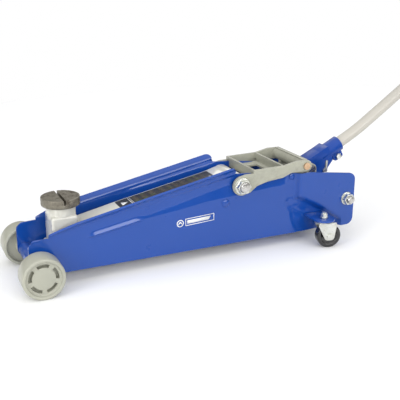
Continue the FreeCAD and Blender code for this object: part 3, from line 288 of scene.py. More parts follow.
def dust_group():
    """Thin workshop dust that settles on faces that look up."""
    group, start, end = new_group("settled_dust", [
        ("Colour", "Color", (0.5, 0.5, 0.5, 1)), ("Roughness", "Float", 0.3), ("Amount", "Float", 0.1)],
        [("Colour", "Color"), ("Roughness", "Float")])
    normal = put(group, "NewGeometry").outputs["Normal"]
    upward = ranged(group, put(group, "SeparateXYZ", {0: normal}).outputs[2], 0.3, 0.95)
    patches = ranged(group, noise_value(group, place_on_object(group), 22.0, 5.0, 0.6), 0.35, 0.75)
    share = sum_of(group, "MULTIPLY", sum_of(group, "MULTIPLY", upward, patches), start["Amount"])
    group.links.new(tint(group, share, start["Colour"], (0.48, 0.44, 0.38, 1)), end["Colour"])
    group.links.new(sum_of(group, "ADD", start["Roughness"], share), end["Roughness"])
    return group


enamel_skin = enamel_group()
cast_skin = casting_group()
machined_skin = machined_group()
edge_rub = rub_group()
settled_dust = dust_group()


def use_group(tree, group, inputs):
    """Places an effect in a material and gives back its outputs."""
    made = tree.nodes.new("ShaderNodeGroup")
    made.node_tree = group
    for key, value in inputs.items():
        if isinstance(value, bpy.types.NodeSocket):
            tree.links.new(value, made.inputs[key])
        else:
            made.inputs[key].default_value = value
    return made.outputs


# ---------------------------------------------------------------- materials
def new_material(name, **shader_values):
    """Material with a Principled shader whose plain sockets are set here."""
    made = bpy.data.materials.new(name)
    made.use_nodes = True
    tree = made.node_tree
    shader = tree.nodes["Principled BSDF"]
    for key, value in shader_values.items():
        shader.inputs[key.replace("_", " ").title().replace("Ior", "IOR")].default_value = value
    return made, tree, shader


def painted(name, colour, bare, roughness, peel=0.00002, drift=0.2, rub=0.35, dust=0.06, coat=1.0):
    """Enamel over steel, rubbed on its edges and a little dusty on top."""
    made, tree, shader = new_material(name, coat_weight=coat, coat_roughness=0.06, specular_ior_level=0.2)
    skin = use_group(tree, enamel_skin, {"Colour": colour, "Tone drift": drift, "Roughness": roughness,
                                         "Peel depth": peel})
    dusty = use_group(tree, settled_dust, {"Colour": skin["Colour"], "Roughness": skin["Roughness"],
                                           "Amount": dust})
    mask = use_group(tree, edge_rub, {"Width": 0.0009, "Amount": rub})["Mask"]
    tree.links.new(tint(tree, mask, dusty["Colour"], bare), shader.inputs["Base Color"])
    tree.links.new(dusty["Roughness"], shader.inputs["Roughness"])
    tree.links.new(skin["Normal"], shader.inputs["Normal"])
    return made


def cast(name, colour, pits, roughness, grain, depth, pit_share, coat=0.0, metallic=0.0, rub=0.3,
         bare=(0.6, 0.6, 0.58, 1)):
    """Cast iron, bare or under thin paint."""
    made, tree, shader = new_material(name, coat_weight=coat, coat_roughness=0.25, metallic=metallic)
    skin = use_group(tree, cast_skin, {"Colour": colour, "Pit colour": pits, "Grain scale": grain,
                                       "Grain depth": depth, "Pit share": pit_share, "Roughness": roughness})
    dusty = use_group(tree, settled_dust, {"Colour": skin["Colour"], "Roughness": skin["Roughness"],
                                           "Amount": 0.08})
    mask = use_group(tree, edge_rub, {"Width": 0.0012, "Amount": rub})["Mask"]
    tree.links.new(tint(tree, mask, dusty["Colour"], bare), shader.inputs["Base Color"])
    tree.links.new(dusty["Roughness"], shader.inputs["Roughness"])
    tree.links.new(skin["Normal"], shader.inputs["Normal"])
    return made


def metal(name, colour, tarnish, roughness, share=0.3, streaks=260.0):
    """Bare or plated metal."""
    made, tree, shader = new_material(name, metallic=1.0)
    skin = use_group(tree, machined_skin, {"Colour": colour, "Tarnish": tarnish, "Tarnish share": share,
                                           "Streak scale": streaks, "Roughness": roughness})
    tree.links.new(skin["Colour"], shader.inputs["Base Color"])
    tree.links.new(skin["Roughness"], shader.inputs["Roughness"])
    tree.links.new(skin["Normal"], shader.inputs["Normal"])
    return made


def moulded(name, colour, roughness, depth=0.00004, coat=0.0, dust=0.12, drift=0.3):
    """Plastic, rubber or printed film."""
    made, tree, shader = new_material(name, coat_weight=coat, coat_roughness=0.08)
    skin = use_group(tree, enamel_skin, {"Colour": colour, "Tone drift": drift, "Roughness": roughness,
                                         "Peel depth": depth})
    dusty = use_group(tree, settled_dust, {"Colour": skin["Colour"], "Roughness": skin["Roughness"],
                                           "Amount": dust})
    tree.links.new(dusty["Colour"], shader.inputs["Base Color"])
    tree.links.new(dusty["Roughness"], shader.inputs["Roughness"])
    tree.links.new(skin["Normal"], shader.inputs["Normal"])
    return made


finish = {
    "chassis_paint": painted("blue_enamel", (0.003, 0.055, 0.31, 1), (0.05, 0.12, 0.4, 1), 0.32, coat=0.8),
    "socket_paint": painted("blue_forging", (0.004, 0.050, 0.30, 1), (0.06, 0.13, 0.4, 1), 0.34, 0.00006,
                            coat=0.15),
    "yoke_paint": cast("grey_casting", (0.36, 0.36, 0.29, 1), (0.20, 0.20, 0.16, 1), 0.42, 260.0, 0.00016,
                       0.35, coat=0.3, bare=(0.52, 0.52, 0.46, 1)),
    "tank_paint": cast("grey_tank", (0.34, 0.34, 0.28, 1), (0.20, 0.20, 0.16, 1), 0.42, 240.0, 0.00012, 0.3,
                       coat=0.2, bare=(0.5, 0.5, 0.44, 1)),
    "arm_paint": painted("cream_enamel", (0.64, 0.63, 0.56, 1), (0.68, 0.68, 0.62, 1), 0.28, 0.00004, 0.12),
    "wheel_paint": painted("cream_casting", (0.39, 0.39, 0.32, 1), (0.60, 0.60, 0.53, 1), 0.42, 0.00009, 0.25,
                           coat=0.35),
    "handle_paint": painted("cream_tube", (0.50, 0.475, 0.42, 1), (0.60, 0.58, 0.52, 1), 0.40, 0.00005, 0.2,
                            coat=0.4),
    "saddle_iron": cast("bare_iron", (0.26, 0.24, 0.19, 1), (0.075, 0.06, 0.045, 1), 0.38, 330.0, 0.0004, 0.9,
                        metallic=0.6, rub=0.6, bare=(0.50, 0.48, 0.42, 1)),
    "caster_tread": moulded("black_tread", (0.010, 0.010, 0.010, 1), 0.22, coat=0.6),
    "zinc_plate": metal("zinc_plate", (0.74, 0.75, 0.70, 1), (0.45, 0.43, 0.34, 1), 0.30, 0.35),
    "bright_steel": metal("turned_steel", (0.58, 0.57, 0.55, 1), (0.30, 0.27, 0.22, 1), 0.28, 0.4),
    "spring_steel": metal("spring_wire", (0.24, 0.24, 0.26, 1), (0.10, 0.09, 0.08, 1), 0.35, 0.5),
    "brass_pin": metal("brass_pin", (0.68, 0.47, 0.30, 1), (0.40, 0.22, 0.12, 1), 0.30, 0.5),
    "label_film": moulded("charcoal_film", (0.017, 0.016, 0.013, 1), 0.34, 0.00001, dust=0.03),
    "grip_rubber": moulded("grip_rubber", (0.016, 0.016, 0.017, 1), 0.72, 0.00012),
    "knob_plastic": moulded("knob_plastic", (0.012, 0.012, 0.013, 1), 0.45, 0.00006),
}
print_white = moulded("print_white", (0.80, 0.80, 0.78, 1), 0.4, 0.00001, dust=0.02, drift=0.05)
print_grey = moulded("print_grey", (0.14, 0.12, 0.09, 1), 0.45, 0.00001, dust=0.02, drift=0.3)
print_green = moulded("print_green", (0.09, 0.24, 0.07, 1), 0.45, 0.00001, dust=0.02, drift=0.3)

for node_name, node_object in frame["nodes"].items():
    node_object.data.materials.clear()
    node_object.data.materials.append(finish[slot_of_node[node_name]])


# ---------------------------------------------------------------- mesh helpers
def finished(body, name, rides_on, slot, replaced=(), look=None):
    """Turns a bmesh made in metres at its place into a piece that rides on a body."""
    mesh = bpy.data.meshes.new(name)
    for face in body.faces:
        face.smooth = True
    body.to_mesh(mesh)
    body.free()
    piece = bpy.data.objects.new(name, mesh)
    bpy.context.scene.collection.objects.link(piece)
    mesh.materials.append(look or finish[slot])
    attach(piece, rides_on)
    if replaced:
        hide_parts(*replaced)
    return piece


def soften_edges(piece, width_mm, segments=2, angle=32):
    """Rounds the sharp edges of a piece and keeps its flat faces flat."""
    rounding = piece.modifiers.new("rounded_edges", "BEVEL")
    rounding.width = width_mm * MM
    rounding.segments = segments
    rounding.limit_method = "ANGLE"
    rounding.angle_limit = math.radians(angle)
    rounding.use_clamp_overlap = True
    rounding.harden_normals = True
    rounding.miter_outer = "MITER_ARC"
    return piece


def rounded_copy(node, width_mm, rides_on, segments=2, angle=32):
    """CAD piece again, welded into one skin, with its sharp edges rounded."""
    body = bmesh.new()
    body.from_mesh(frame["nodes"][node].data)
    bmesh.ops.remove_doubles(body, verts=body.verts, dist=0.002 * MM)
    bmesh.ops.dissolve_limit(body, angle_limit=math.radians(0.6), verts=body.verts, edges=body.edges)
    piece = finished(body, node + "_finished", rides_on, slot_of_node[node], (node,))
    return soften_edges(piece, width_mm, segments, angle)


def round_corners(corners, arc_steps=5):
    """Closed outline from corners (u, v) or (u, v, radius), with arcs at its round corners."""
    outline = []
    for i, corner in enumerate(corners):
        here = Vector(corner[:2])
        radius = corner[2] if len(corner) == 3 else 0
        if not radius:
            outline.append(here)
            continue
        back = (Vector(corners[i - 1][:2]) - here).normalized()
        ahead = (Vector(corners[(i + 1) % len(corners)][:2]) - here).normalized()
        half = back.angle(ahead) / 2
        centre = here + (back + ahead).normalized() * radius / math.sin(half)
        start = here + back * radius / math.tan(half) - centre
        end = here + ahead * radius / math.tan(half) - centre
        sweep = start.angle_signed(end)
        for k in range(arc_steps + 1):
            outline.append(centre + Matrix.Rotation(-sweep * k / arc_steps, 2) @ start)
    return outline


def cut_lines(body, axis, places):
    """Cuts the whole mesh by planes across one axis, at the given places."""
    normal = Vector((0, 0, 0))
    normal[axis] = 1
    for place in places:
        point = normal * place
        geometry = body.verts[:] + body.edges[:] + body.faces[:]
        bmesh.ops.bisect_plane(body, geom=geometry, dist=1e-7, plane_co=point, plane_no=normal)


def spun(profile, centre, axis, segments=96):
    """Solid of revolution. The profile's points are (radius, distance along the axis), in millimetres."""
    body = bmesh.new()
    along = Vector(axis)
    across = along.orthogonal().normalized()
    points = [body.verts.new(centre + (across * radius + along * reach) * MM) for radius, reach in profile]
    edges = [body.edges.new(pair) for pair in zip(points, points[1:])]
    bmesh.ops.spin(body, geom=points + edges, cent=centre, axis=along, angle=2 * math.pi, steps=segments,
                   use_merge=True)
    bmesh.ops.remove_doubles(body, verts=body.verts, dist=1e-6)
    bmesh.ops.recalc_face_normals(body, faces=body.faces)
    return body


def slab(outline, low, high, to_frame):
    """Plate between two levels over a flat outline; to_frame turns (u, v, level) into a place."""
    body = bmesh.new()
    face = body.faces.new([body.verts.new(to_frame(p[0], p[1], low)) for p in outline])
    raised = bmesh.ops.extrude_face_region(body, geom=[face])["geom"]
    rise = to_frame(0, 0, high) - to_frame(0, 0, low)
    bmesh.ops.translate(body, vec=rise, verts=[g for g in raised if isinstance(g, bmesh.types.BMVert)])
    bmesh.ops.recalc_face_normals(body, faces=body.faces)
    return body


def joined(bodies):
    """Several bmeshes in one."""
    whole = bmesh.new()
    for body in bodies:
        mesh = bpy.data.meshes.new("part")
        body.to_mesh(mesh)
        body.free()
        whole.from_mesh(mesh)
        bpy.data.meshes.remove(mesh)
    return whole


def carved(piece, cutters):
    """Cuts each cutter out of a piece and keeps the result as the piece's own mesh."""
    for cutter_body in cutters:
        mesh = bpy.data.meshes.new("cutter")
        cutter_body.to_mesh(mesh)
        cutter_body.free()
        cutter = bpy.data.objects.new("cutter", mesh)
        bpy.context.scene.collection.objects.link(cutter)
        cut = piece.modifiers.new("cut", "BOOLEAN")
        cut.operation = "DIFFERENCE"
        cut.solver = "EXACT"
        cut.object = cutter
        bpy.context.view_layer.update()
        depsgraph = bpy.context.evaluated_depsgraph_get()
        result = bpy.data.meshes.new_from_object(piece.evaluated_get(depsgraph))
        piece.modifiers.remove(cut)
        old = piece.data
        piece.data = result
        bpy.data.meshes.remove(old)
        bpy.data.objects.remove(cutter)
        bpy.data.meshes.remove(mesh)
    return piece


# ---------------------------------------------------------------- side plates
def bend_height(x):
    """Height of the bend where the flange starts."""
    return flange_root_z + (x - flange_start_x) * math.tan(flange_slope)


def between(stations, x):
    """Value on a line through (x, value) stations."""
    for (x0, v0), (x1, v1) in zip(stations, stations[1:]):
        if x <= x1:
            return v0 + (v1 - v0) * max(x - x0, 0) / (x1 - x0)
    return stations[-1][1]


def crease_height(x):
    """Height of the pressed rib, and of the crease that carries on behind it."""
    return between(crease_line, x)


def bay_bulge(x, z):
    """How far the rear bay stands out at a point, from 0 to 1."""
    over_upper = (z - 103 + (x - bay_front_x) * 0.55) * 0.88
    over_lower = (z - 38 + (x - bay_waist_x) * 0.70) * 0.82
    inside = min(x - bay_front_x, max(over_upper, over_lower, x - bay_waist_x))
    return smooth_step(inside, -joggle_run / 2, joggle_run / 2)


def pocket_hollow(x, z):
    """How deep the caster's pocket is sunk at a point, from 0 to 1."""
    front = between(pocket_front, z)
    return smooth_step(x, front, front + pocket_ramp) * smooth_step(z, *pocket_top)


def pressed(x, z):
    """Where a point of the flat sheet ends up once the plate is pressed; y is outwards."""
    above_crease = z - crease_height(x)
    ridge = smooth_step(above_crease, rib_foot, rib_top)
    ridge *= min(max(1 - (above_crease - rib_top) / rib_face, 0), 1)
    ridge *= smooth_step(x, *rib_front) * smooth_step(x, *rib_rear)
    below_bend = bend_height(min(x, flange_end_x)) - z
    run = between(fold_runs, x)
    fold = min(max(above_crease / run, 0), 1)
    if x < flange_end_x:
        fold *= smooth_step(below_bend, *bend_blend)
    fold *= smooth_step(x, *fold_front) * smooth_step(x, *fold_rear)
    fold *= min(fold_slope * run, fold_limit)
    bulge = bay_bulge(x, z)
    out = plate_face_y + rib_height * ridge - fold + bay_step * bulge
    out -= pocket_depth * pocket_hollow(x, z) * (1 - bulge)
    above_bend = (z - bend_height(x)) * math.cos(flange_slope)
    if above_bend <= 0 or x > flange_end_x + 0.01:
        return x, out, z
    lean = min(above_bend / flange_bend_radius, flange_lean)
    straight = max(above_bend - flange_bend_radius * flange_lean, 0)
    out += flange_bend_radius * (1 - math.cos(lean)) + straight * math.sin(flange_lean)
    rise = flange_bend_radius * math.sin(lean) + straight * math.cos(flange_lean) - above_bend
    return x - rise * math.sin(flange_slope), out, z + rise * math.cos(flange_slope)


def plate_outline():
    """Outline of the flat blank, with its flange unfolded."""
    width = flange_width / math.cos(flange_slope)
    start, full, end, rear = flange_start_x, flange_full_x, flange_end_x, plate_rear_x
    nose = [(-15, 24, 14), (-15, 82, 9), (-5, 91, 6), (start, bend_height(start))]
    flange = [(start, bend_height(start) + 5, 3), (full, bend_height(full) + width, 40),
              (end, bend_height(end) + width, 12), (end, bend_height(end) - 3)]
    bay = [(450, 164.5, 20), (530, 153, 20), (575, 154.5, 30), (rear, 139, 16), (rear, 24, 16)]
    underside = [(650, 24), (576, 21, 20), (20, 21, 30)]
    return round_corners(nose + flange + bay + underside, 8)


def plate_sheet(side):
    """Flat blank of a side plate, cut into a fine grid and pressed to shape."""
    sheet = bmesh.new()
    sheet.faces.new([sheet.verts.new((p.x, 0, p.y)) for p in plate_outline()])
    coarse_columns = list(range(-10, 540, 5))
    bay_columns = [540 + 2.5 * k for k in range(52)] + [675, 680, 685]
    cut_lines(sheet, 0, coarse_columns + bay_columns)
    rows_below_crease = list(range(-108, -8, 4)) + [-6, -4, -2.2, -1.5, -0.8]
    rows_above_crease = [0, 0.6, 2, 4, 6.5, 9, 11.5, 14, 17, 20, 23, 26, 30, 34, 38, 43]
    rows_along_bend = (-6.5, -5, -3.5, -2, -0.5, 0, 1.6, 3.2, 4.8, 6.4, 8, 11)
    for vert in sheet.verts:
        vert.co.z -= crease_height(vert.co.x)
    cut_lines(sheet, 2, rows_below_crease + rows_above_crease)
    for vert in sheet.verts:
        vert.co.z += crease_height(vert.co.x)
    for rise in rows_along_bend:
        geometry = sheet.verts[:] + sheet.edges[:] + sheet.faces[:]
        bmesh.ops.bisect_plane(sheet, geom=geometry, dist=1e-6, plane_co=(0, 0, bend_height(0) + rise),
                               plane_no=(-math.sin(flange_slope), 0, math.cos(flange_slope)))
    for vert in sheet.verts:
        x, out, z = pressed(vert.co.x, vert.co.z)
        vert.co = spot(x, side * out, z)
    bmesh.ops.recalc_face_normals(sheet, faces=sheet.faces)
    outward = sum((face.normal.y * side * face.calc_area() for face in sheet.faces))
    if outward < 0:
        bmesh.ops.reverse_faces(sheet, faces=sheet.faces)
    return sheet


def side_plates():
    """Both plates: the pressed sheet gets its thickness inwards and its cut edges are eased."""
    for side, name in ((-1, "side_plate_left"), (1, "side_plate_right")):
        plate = finished(plate_sheet(side), name + "_pressed", "chassis", "chassis_paint", (name,))
        wall = plate.modifiers.new("sheet_thickness", "SOLIDIFY")
        wall.thickness = plate_thickness * MM
        wall.offset = -1
        soften_edges(plate, 0.7, 2, 50)


# ---------------------------------------------------------------- front wheels
def front_wheel_body(side):
    """Cast wheel with a sunk face, a rounded rim and a hollow back."""
    rim = wheel_radius
    depth = wheel_width
    back = depth - 7
    face = [(0, 5.2), (8, 5.2), (19.5, 5.6), (20.8, 6), (28.8, 6), (rim - 9, 6)]
    outer_lip = [(rim - 7.6, 5.4), (rim - 7, 4.4), (rim - 6.4, 1.4), (rim - 5.6, 0.4), (rim - 4, 0),
                 (rim - 1.6, 0.4), (rim - 0.5, 1.4)]
    tread = [(rim, 3.0), (rim, depth / 2), (rim, depth - 3)]
    inner_lip = [(rim - 0.6, depth - 1), (rim - 2.4, depth), (rim - 5, depth), (rim - 6, depth - 1)]
    hollow = [(rim - 6, back + 1), (rim - 7, back), (16, back), (15, back + 1)]
    hub = [(15, depth - 0.8), (14.2, depth), (9, depth), (8.05, depth - 1), (8.05, 8.6), (0, 8.6)]
    profile = face + outer_lip + tread + inner_lip + hollow + hub
    return spun(profile, spot(0, side * wheel_outer_y, wheel_axle_z), (0, -side, 0), 120)


def slot_cutter(side, turn):
    """Curved pocket in the wheel's face."""
    centre = spot(0, side * wheel_outer_y, wheel_axle_z)
    body = bmesh.new()
    start = turn - slot_half_angle
    inner, outer = slot_radii
    corners = [(inner, -1), (outer, -1), (outer, slot_depth), (inner, slot_depth)]
    along = Vector((0, -side, 0))
    arm = Vector((math.cos(start), 0, math.sin(start)))
    ring = [body.verts.new(centre + (arm * radius + along * reach) * MM) for radius, reach in corners]
    face = body.faces.new(ring)
    bmesh.ops.spin(body, geom=[face], cent=centre, axis=(0, -1, 0), angle=2 * slot_half_angle, steps=16)
    bmesh.ops.recalc_face_normals(body, faces=body.faces)
    return body


def front_wheels():
    """Both wheels, with curved pockets round the hub."""
    for side, name in ((-1, "front_wheel_left"), (1, "front_wheel_right")):
        wheel = finished(front_wheel_body(side), name + "_cast", name, "wheel_paint", (name,))
        turns = [math.tau * i / wheel_slots + first_slot_angle for i in range(wheel_slots)]
        carved(wheel, [slot_cutter(side, turn) for turn in turns])
        soften_edges(wheel, 0.9, 3, 40)


# ---------------------------------------------------------------- casters
def caster_wheels():
    """Hard rollers with a dished side and a slightly crowned tread."""
    for name in ("caster_wheel_left", "caster_wheel_right"):
        low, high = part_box(name)
        joint = next(j for j in frame["joints"] if j["child"] == name)
        half = caster_width / 2
        hub = [(4.05, -half - 0.8), (7.4, -half - 0.9), (8, -half - 0.4), (8, -half + 1.8)]
        dish = [(9, -half + 2.2), (16.4, -half + 2.2), (17.4, -half + 1.6), (17.9, -half + 0.4)]
        shoulder = [(19, -half), (caster_radius - 2.6, -half), (caster_radius - 0.9, -half + 0.8),
                    (caster_radius - 0.1, -half + 2.6), (caster_radius, -half + 5)]
        one_side = hub + dish + shoulder
        other_side = [(r, -y) for r, y in reversed(one_side)]
        profile = one_side + [(caster_radius, 0)] + other_side + hub[:1]
        wheel = spun(profile, (low + high) / 2, Vector(joint["axis"]), 72)
        finished(wheel, name + "_moulded", name, "caster_tread", (name,))


# ---------------------------------------------------------------- saddle
def saddle_relief(point):
    """Small lumps of the cast top face."""
    return noise.fractal(point * 260, 0.8, 2.2, 3) * 0.35 + noise.noise(point * 90) * 0.25


def saddle():
    """Round saddle with a slot across its top, rough as cast, on a stem."""
    low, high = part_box("saddle")
    centre = Vector(((low.x + high.x) / 2, 0, 0))
    radius = (high.x - low.x) / 2 / MM
    top = high.z / MM
    bottom = top - saddle_plate
    foot = low.z / MM
    face = [(0, top)] + [(radius * k / 14, top) for k in range(1, 14)]
    edge = [(radius - 1.1, top - 0.1), (radius - 0.3, top - 0.9), (radius, top - 2.2), (radius, bottom + 2.4),
            (radius - 0.4, bottom + 1), (radius - 1.8, bottom)]
    stem = [(13.4, bottom), (12.5, bottom - 1), (12.5, foot + 1), (11.5, foot), (0, foot)]
    body = spun(face + edge + stem, centre, (0, 0, 1), 96)
    piece = finished(body, "saddle_cast", "saddle", "saddle_iron", ("saddle",))
    cutter = bmesh.new()
    bmesh.ops.create_cube(cutter, size=1)
    bmesh.ops.scale(cutter, vec=(saddle_slot_width * MM, 0.1, 2 * saddle_slot_depth * MM),
                    verts=cutter.verts)
    bmesh.ops.translate(cutter, vec=(centre.x, 0, high.z), verts=cutter.verts)
    carved(piece, [cutter])
    for vert in piece.data.vertices:
        if vert.co.z > high.z - 0.3 * MM:
            vert.co.z += (saddle_relief(vert.co) - 0.6) * MM * relief_depth
    soften_edges(piece, 0.45, 2, 40)


# ---------------------------------------------------------------- graphics without lettering
def ring_slab(centre, radius, width, to_frame):
    """Flat ring, cut from a round slab by an inset on both of its faces."""
    sides = 40
    turns = [math.tau * k / sides for k in range(sides)]
    outline = [(centre[0] + radius * math.cos(t), centre[1] + radius * math.sin(t)) for t in turns]
    disc = slab(outline, badge_low, badge_high - 0.05, to_frame)
    bmesh.ops.inset_region(disc, faces=[f for f in disc.faces if len(f.verts) == sides], thickness=width * MM)
    middle = [f for f in disc.faces if len(f.verts) == sides]
    bmesh.ops.delete(disc, geom=middle, context="FACES")
    return disc


def side_badge():
    """Plain mark on each side plate: a ring round a chevron, and a framed bar."""
    left, right, bottom, top, edge = 295, 358, 74, 89, 1.3
    strips = [(left, right, bottom, bottom + edge), (left, right, top - edge, top),
              (left, left + edge, bottom + edge, top - edge),
              (right - edge, right, bottom + edge, top - edge)]
    bars = [[(u0, v0), (u1, v0), (u1, v1), (u0, v1)] for u0, u1, v0, v1 in strips]
    bars.append([(299, 78), (346, 78), (350, 85), (299, 85)])
    chevron = [(280, 78), (284, 82), (288, 78), (288, 81.5), (284, 85.5), (280, 81.5)]
    for side, name in ((-1, "side_badge_left"), (1, "side_badge_right")):
        def slanted(u, v, level):
            return spot(u, side * (plate_face_y + level), v + (u - badge_start_x) * badge_slant)
        pieces = [slab(bar, badge_low, badge_high, slanted) for bar in bars]
        pieces.append(ring_slab((284, 81.5), 7.5, 1.8, slanted))
        pieces.append(slab(chevron, badge_low, badge_high - 0.05, slanted))
        finished(joined(pieces), name, "chassis", "label_film", (), print_white)


def on_arm_frame():
    """Maps along, across and above, in millimetres, to the top of the lift arm."""
    low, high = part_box("arm_label")
    slope = math.atan2(high.z - low.z, high.x - low.x)
    forward = Vector((math.cos(slope), 0, math.sin(slope)))
    upward = Vector((-math.sin(slope), 0, math.cos(slope)))
    start = Vector((low.x, 0, low.z + 0.4 * MM))

    def place(along, across, above):
        return start + (forward * along + Vector((0, across, 0)) + upward * above) * MM
    return place


def arm_label():
    """Printed sheet on the arm: charcoal film with plain blocks, bars and a warning triangle."""
    place = on_arm_frame()
    low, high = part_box("arm_label")
    length = math.hypot(high.x - low.x, high.z - low.z) / MM
    near, far = low.y / MM, high.y / MM
    draw = random.Random(7)
    white, grey, green = [], [], []

    def bar(store, u0, u1, v0, v1):
        store.append(slab([(u0, v0), (u1, v0), (u1, v1), (u0, v1)], print_low, print_high, place))

    column = 34.0
    while column < length - 16:
        width = min(draw.choice((10.0, 14.0, 18.0)), length - 8 - column)
        row = near + 3.5
        while row < far - 4:
            store = green if draw.random() < 0.07 else grey
            if draw.random() < 0.9:
                bar(store, column, column + width * draw.uniform(0.55, 1.0), row, row + line_height)
            row += line_pitch
        column += width + column_gap
    bar(white, 26, 27.4, near + 3, far - 3)
    bar(white, 29.6, 30.6, near + 3, far - 3)
    bar(white, length - 10, length - 6, near + 5, near + 12)
    middle = (near + far) / 2
    triangle = [(8, middle - 9), (22, middle), (8, middle + 9)]
    white.append(slab(triangle, print_low, print_high, place))
    for colour, store, ink in (("white", white, print_white), ("grey", grey, print_grey),
                               ("green", green, print_green)):
        finished(joined(store), "arm_label_marks_" + colour, "lift_arm", "label_film", (), ink)


# ---------------------------------------------------------------- studs and threaded ends
def round_bars(node, profile, centre, slot):
    """Pair of round pieces, one through each side plate; the profile counts from the middle outwards."""
    bodies = [spun(profile, spot(centre[0], 0, centre[1]), (0, side, 0), 48) for side in (-1, 1)]
    finished(joined(bodies), node + "_turned", "chassis", slot, (node,))


def domed_studs():
    """Painted rivet heads of the link studs and the cross bar's screws."""
    stud_head = [(0, 60.2), (3.5, 59.9), (6.5, 59.0), (8.4, 57.7), (9, 57.05)]
    stud_shank = [(6, 57.05), (6, 52.95), (9, 52.95), (9, 49.3), (6, 49.3), (6, 42.7), (8, 42.7),
                  (8, 41), (0, 41)]
    round_bars("link_studs", stud_head + stud_shank, link_stud_place, "chassis_paint")
    screw_head = [(0, 59.6), (3, 59.3), (5.4, 58.5), (6.6, 57.6), (7, 57.05)]
    screw_shank = [(4, 57.05), (4, 41), (0, 41)]
    round_bars("side_screws", screw_head + screw_shank, cross_bar_place, "chassis_paint")


def threaded(radius, start, end, pitch):
    """Outline of a threaded bolt end, as rings."""
    points = []
    count = int((end - 1.2 - start) / pitch)
    for k in range(count):
        low = start + k * pitch
        points += [(radius - 0.45 * pitch, low), (radius, low + 0.4 * pitch), (radius, low + 0.6 * pitch)]
    tip = [(radius - 0.45 * pitch, start + count * pitch), (radius - 1.2, end - 0.2), (radius - 1.6, end)]
    return points + tip


def threaded_shafts():
    """Lift arm's shaft and the rear tie bolt, with threads outside their nuts."""
    for node, smooth_end, pitch in (("arm_pivot_shaft", 64.6, 2.0), ("rear_tie_bolt", 71.2, 1.75)):
        low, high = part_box(node)
        radius = (high.x - low.x) / 2 / MM
        end = high.y / MM
        ridges = threaded(radius, smooth_end, end, pitch)
        profile = [(0, -end)] + [(r, -y) for r, y in reversed(ridges)] + ridges + [(0, end)]
        middle = (low + high) / 2
        finished(spun(profile, middle, (0, 1, 0), 48), node + "_threaded", "chassis", "bright_steel", (node,))


# ---------------------------------------------------------------- pieces kept from the frame
def rounded_frame_pieces():
    """Castings, forgings and nuts, each with the rounding of its edges in millimetres."""
    body_of = {node: name for name, nodes in record["behaviour"]["bodies"].items() for node in nodes}
    widths = {
        "yoke": 0.6, "lift_arm": 0.7, "saddle_pedestal": 1.5, "handle_socket": 0.7, "pump_body": 1.0,
        "caster_shelf_left": 0.6, "caster_shelf_right": 0.6,
        "caster_fork_left": 0.4, "caster_fork_right": 0.4,
        "arm_flange_nuts": 0.7, "tie_nuts": 0.7, "tie_washers": 0.4,
        "caster_kingpins": 0.4, "clamp_bolt": 0.4,
        "radius_link_left": 0.5, "radius_link_right": 0.5,
        "cylinder_gland": 0.8, "base_plate": 0.5, "roller_clip": 0.3, "ram_crosshead": 0.7,
    }
    for node, width in widths.items():
        rounded_copy(node, width, body_of[node])


# ---------------------------------------------------------------- floor, lights and camera
def pale_floor():
    floor_mesh = bmesh.new()
    bmesh.ops.create_circle(floor_mesh, cap_ends=True, segments=64, radius=floor_radius)
    mesh = bpy.data.meshes.new("floor")
    floor_mesh.to_mesh(mesh)
    floor_mesh.free()
    floor = bpy.data.objects.new("floor", mesh)
    bpy.context.scene.collection.objects.link(floor)
    pale = new_material("pale_floor", roughness=0.8, base_color=(0.90, 0.90, 0.90, 1),
                        specular_ior_level=0.1)[0]
    mesh.materials.append(pale)


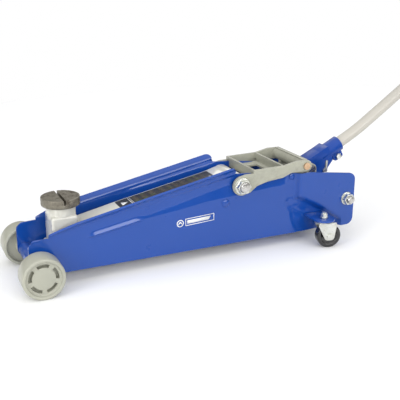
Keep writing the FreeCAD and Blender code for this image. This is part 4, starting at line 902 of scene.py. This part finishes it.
def lamps():
    """Three softboxes and a wide, soft daylight from above."""
    def place_lamp(name, kind, place, aim, energy):
        data = bpy.data.lights.new(name, kind)
        data.energy = energy
        lamp = bpy.data.objects.new(name, data)
        lamp.location = place
        lamp.rotation_euler = (Vector(aim) - Vector(place)).to_track_quat("-Z", "Y").to_euler()
        bpy.context.scene.collection.objects.link(lamp)
        return data

    def softbox(name, direction, distance, size, brightness, middle=spot(330, 0, 80)):
        """Rectangular lamp whose surface has a given brightness."""
        power = brightness * math.pi * size[0] * size[1]
        data = place_lamp(name, "AREA", middle + Vector(direction).normalized() * distance, middle, power)
        data.shape = "RECTANGLE"
        data.size, data.size_y = size

    softbox("side_strip", (0, -0.93, 0.37), 2.5, (2.8, 0.70), 4.5, spot(800, 0, 80))
    softbox("front_box", (-0.86, -0.40, 0.34), 2.4, (0.9, 1.3), 5.0)
    softbox("rear_box", (0.55, 0.75, 0.50), 2.6, (1.6, 0.8), 1.6)
    daylight = place_lamp("daylight", "SUN", spot(250, -250, 800), spot(330, 0, 0), 2.3)
    daylight.angle = math.radians(125)


def surroundings():
    """White to the camera; to the paint, a pale room with a dark band round the horizon."""
    world = bpy.data.worlds.new("studio")
    bpy.context.scene.world = world
    world.use_nodes = True
    tree = world.node_tree
    background = tree.nodes["Background"]
    where = put(tree, "TexCoord").outputs["Generated"]
    height = put(tree, "SeparateXYZ", {0: where}).outputs[2]
    ramp = put(tree, "ValToRGB", {0: ranged(tree, height, -1.0, 1.0)})
    stops = ramp.color_ramp.elements
    stops[0].position, stops[0].color = 0.0, (0.7, 0.7, 0.7, 1)
    stops[1].position, stops[1].color = 1.0, (0.30, 0.31, 0.33, 1)
    for position, level in sky_levels:
        stop = stops.new(position)
        stop.color = (level, level, level * 1.02, 1)
    seen = put(tree, "LightPath").outputs["Is Camera Ray"]
    tree.links.new(tint(tree, seen, ramp.outputs[0], (1, 1, 1, 1)), background.inputs[0])
    background.inputs[1].default_value = 1.0


def studio_camera():
    data = bpy.data.cameras.new("camera")
    data.lens = view_lens
    data.sensor_width = sensor_width
    camera = bpy.data.objects.new("camera", data)
    bpy.context.scene.collection.objects.link(camera)
    level = math.cos(view_elevation)
    toward = Vector((-math.sin(view_azimuth) * level, math.cos(view_azimuth) * level,
                     -math.sin(view_elevation)))
    camera.location = spot(*view_aim) - toward * view_distance
    camera.rotation_euler = (math.pi / 2 - view_elevation, 0, view_azimuth)
    bpy.context.scene.camera = camera
    bpy.context.scene.view_settings.view_transform = "Standard"


side_plates()
front_wheels()
caster_wheels()
saddle()
domed_studs()
threaded_shafts()
side_badge()
arm_label()
rounded_frame_pieces()
pale_floor()
lamps()
surroundings()
studio_camera()
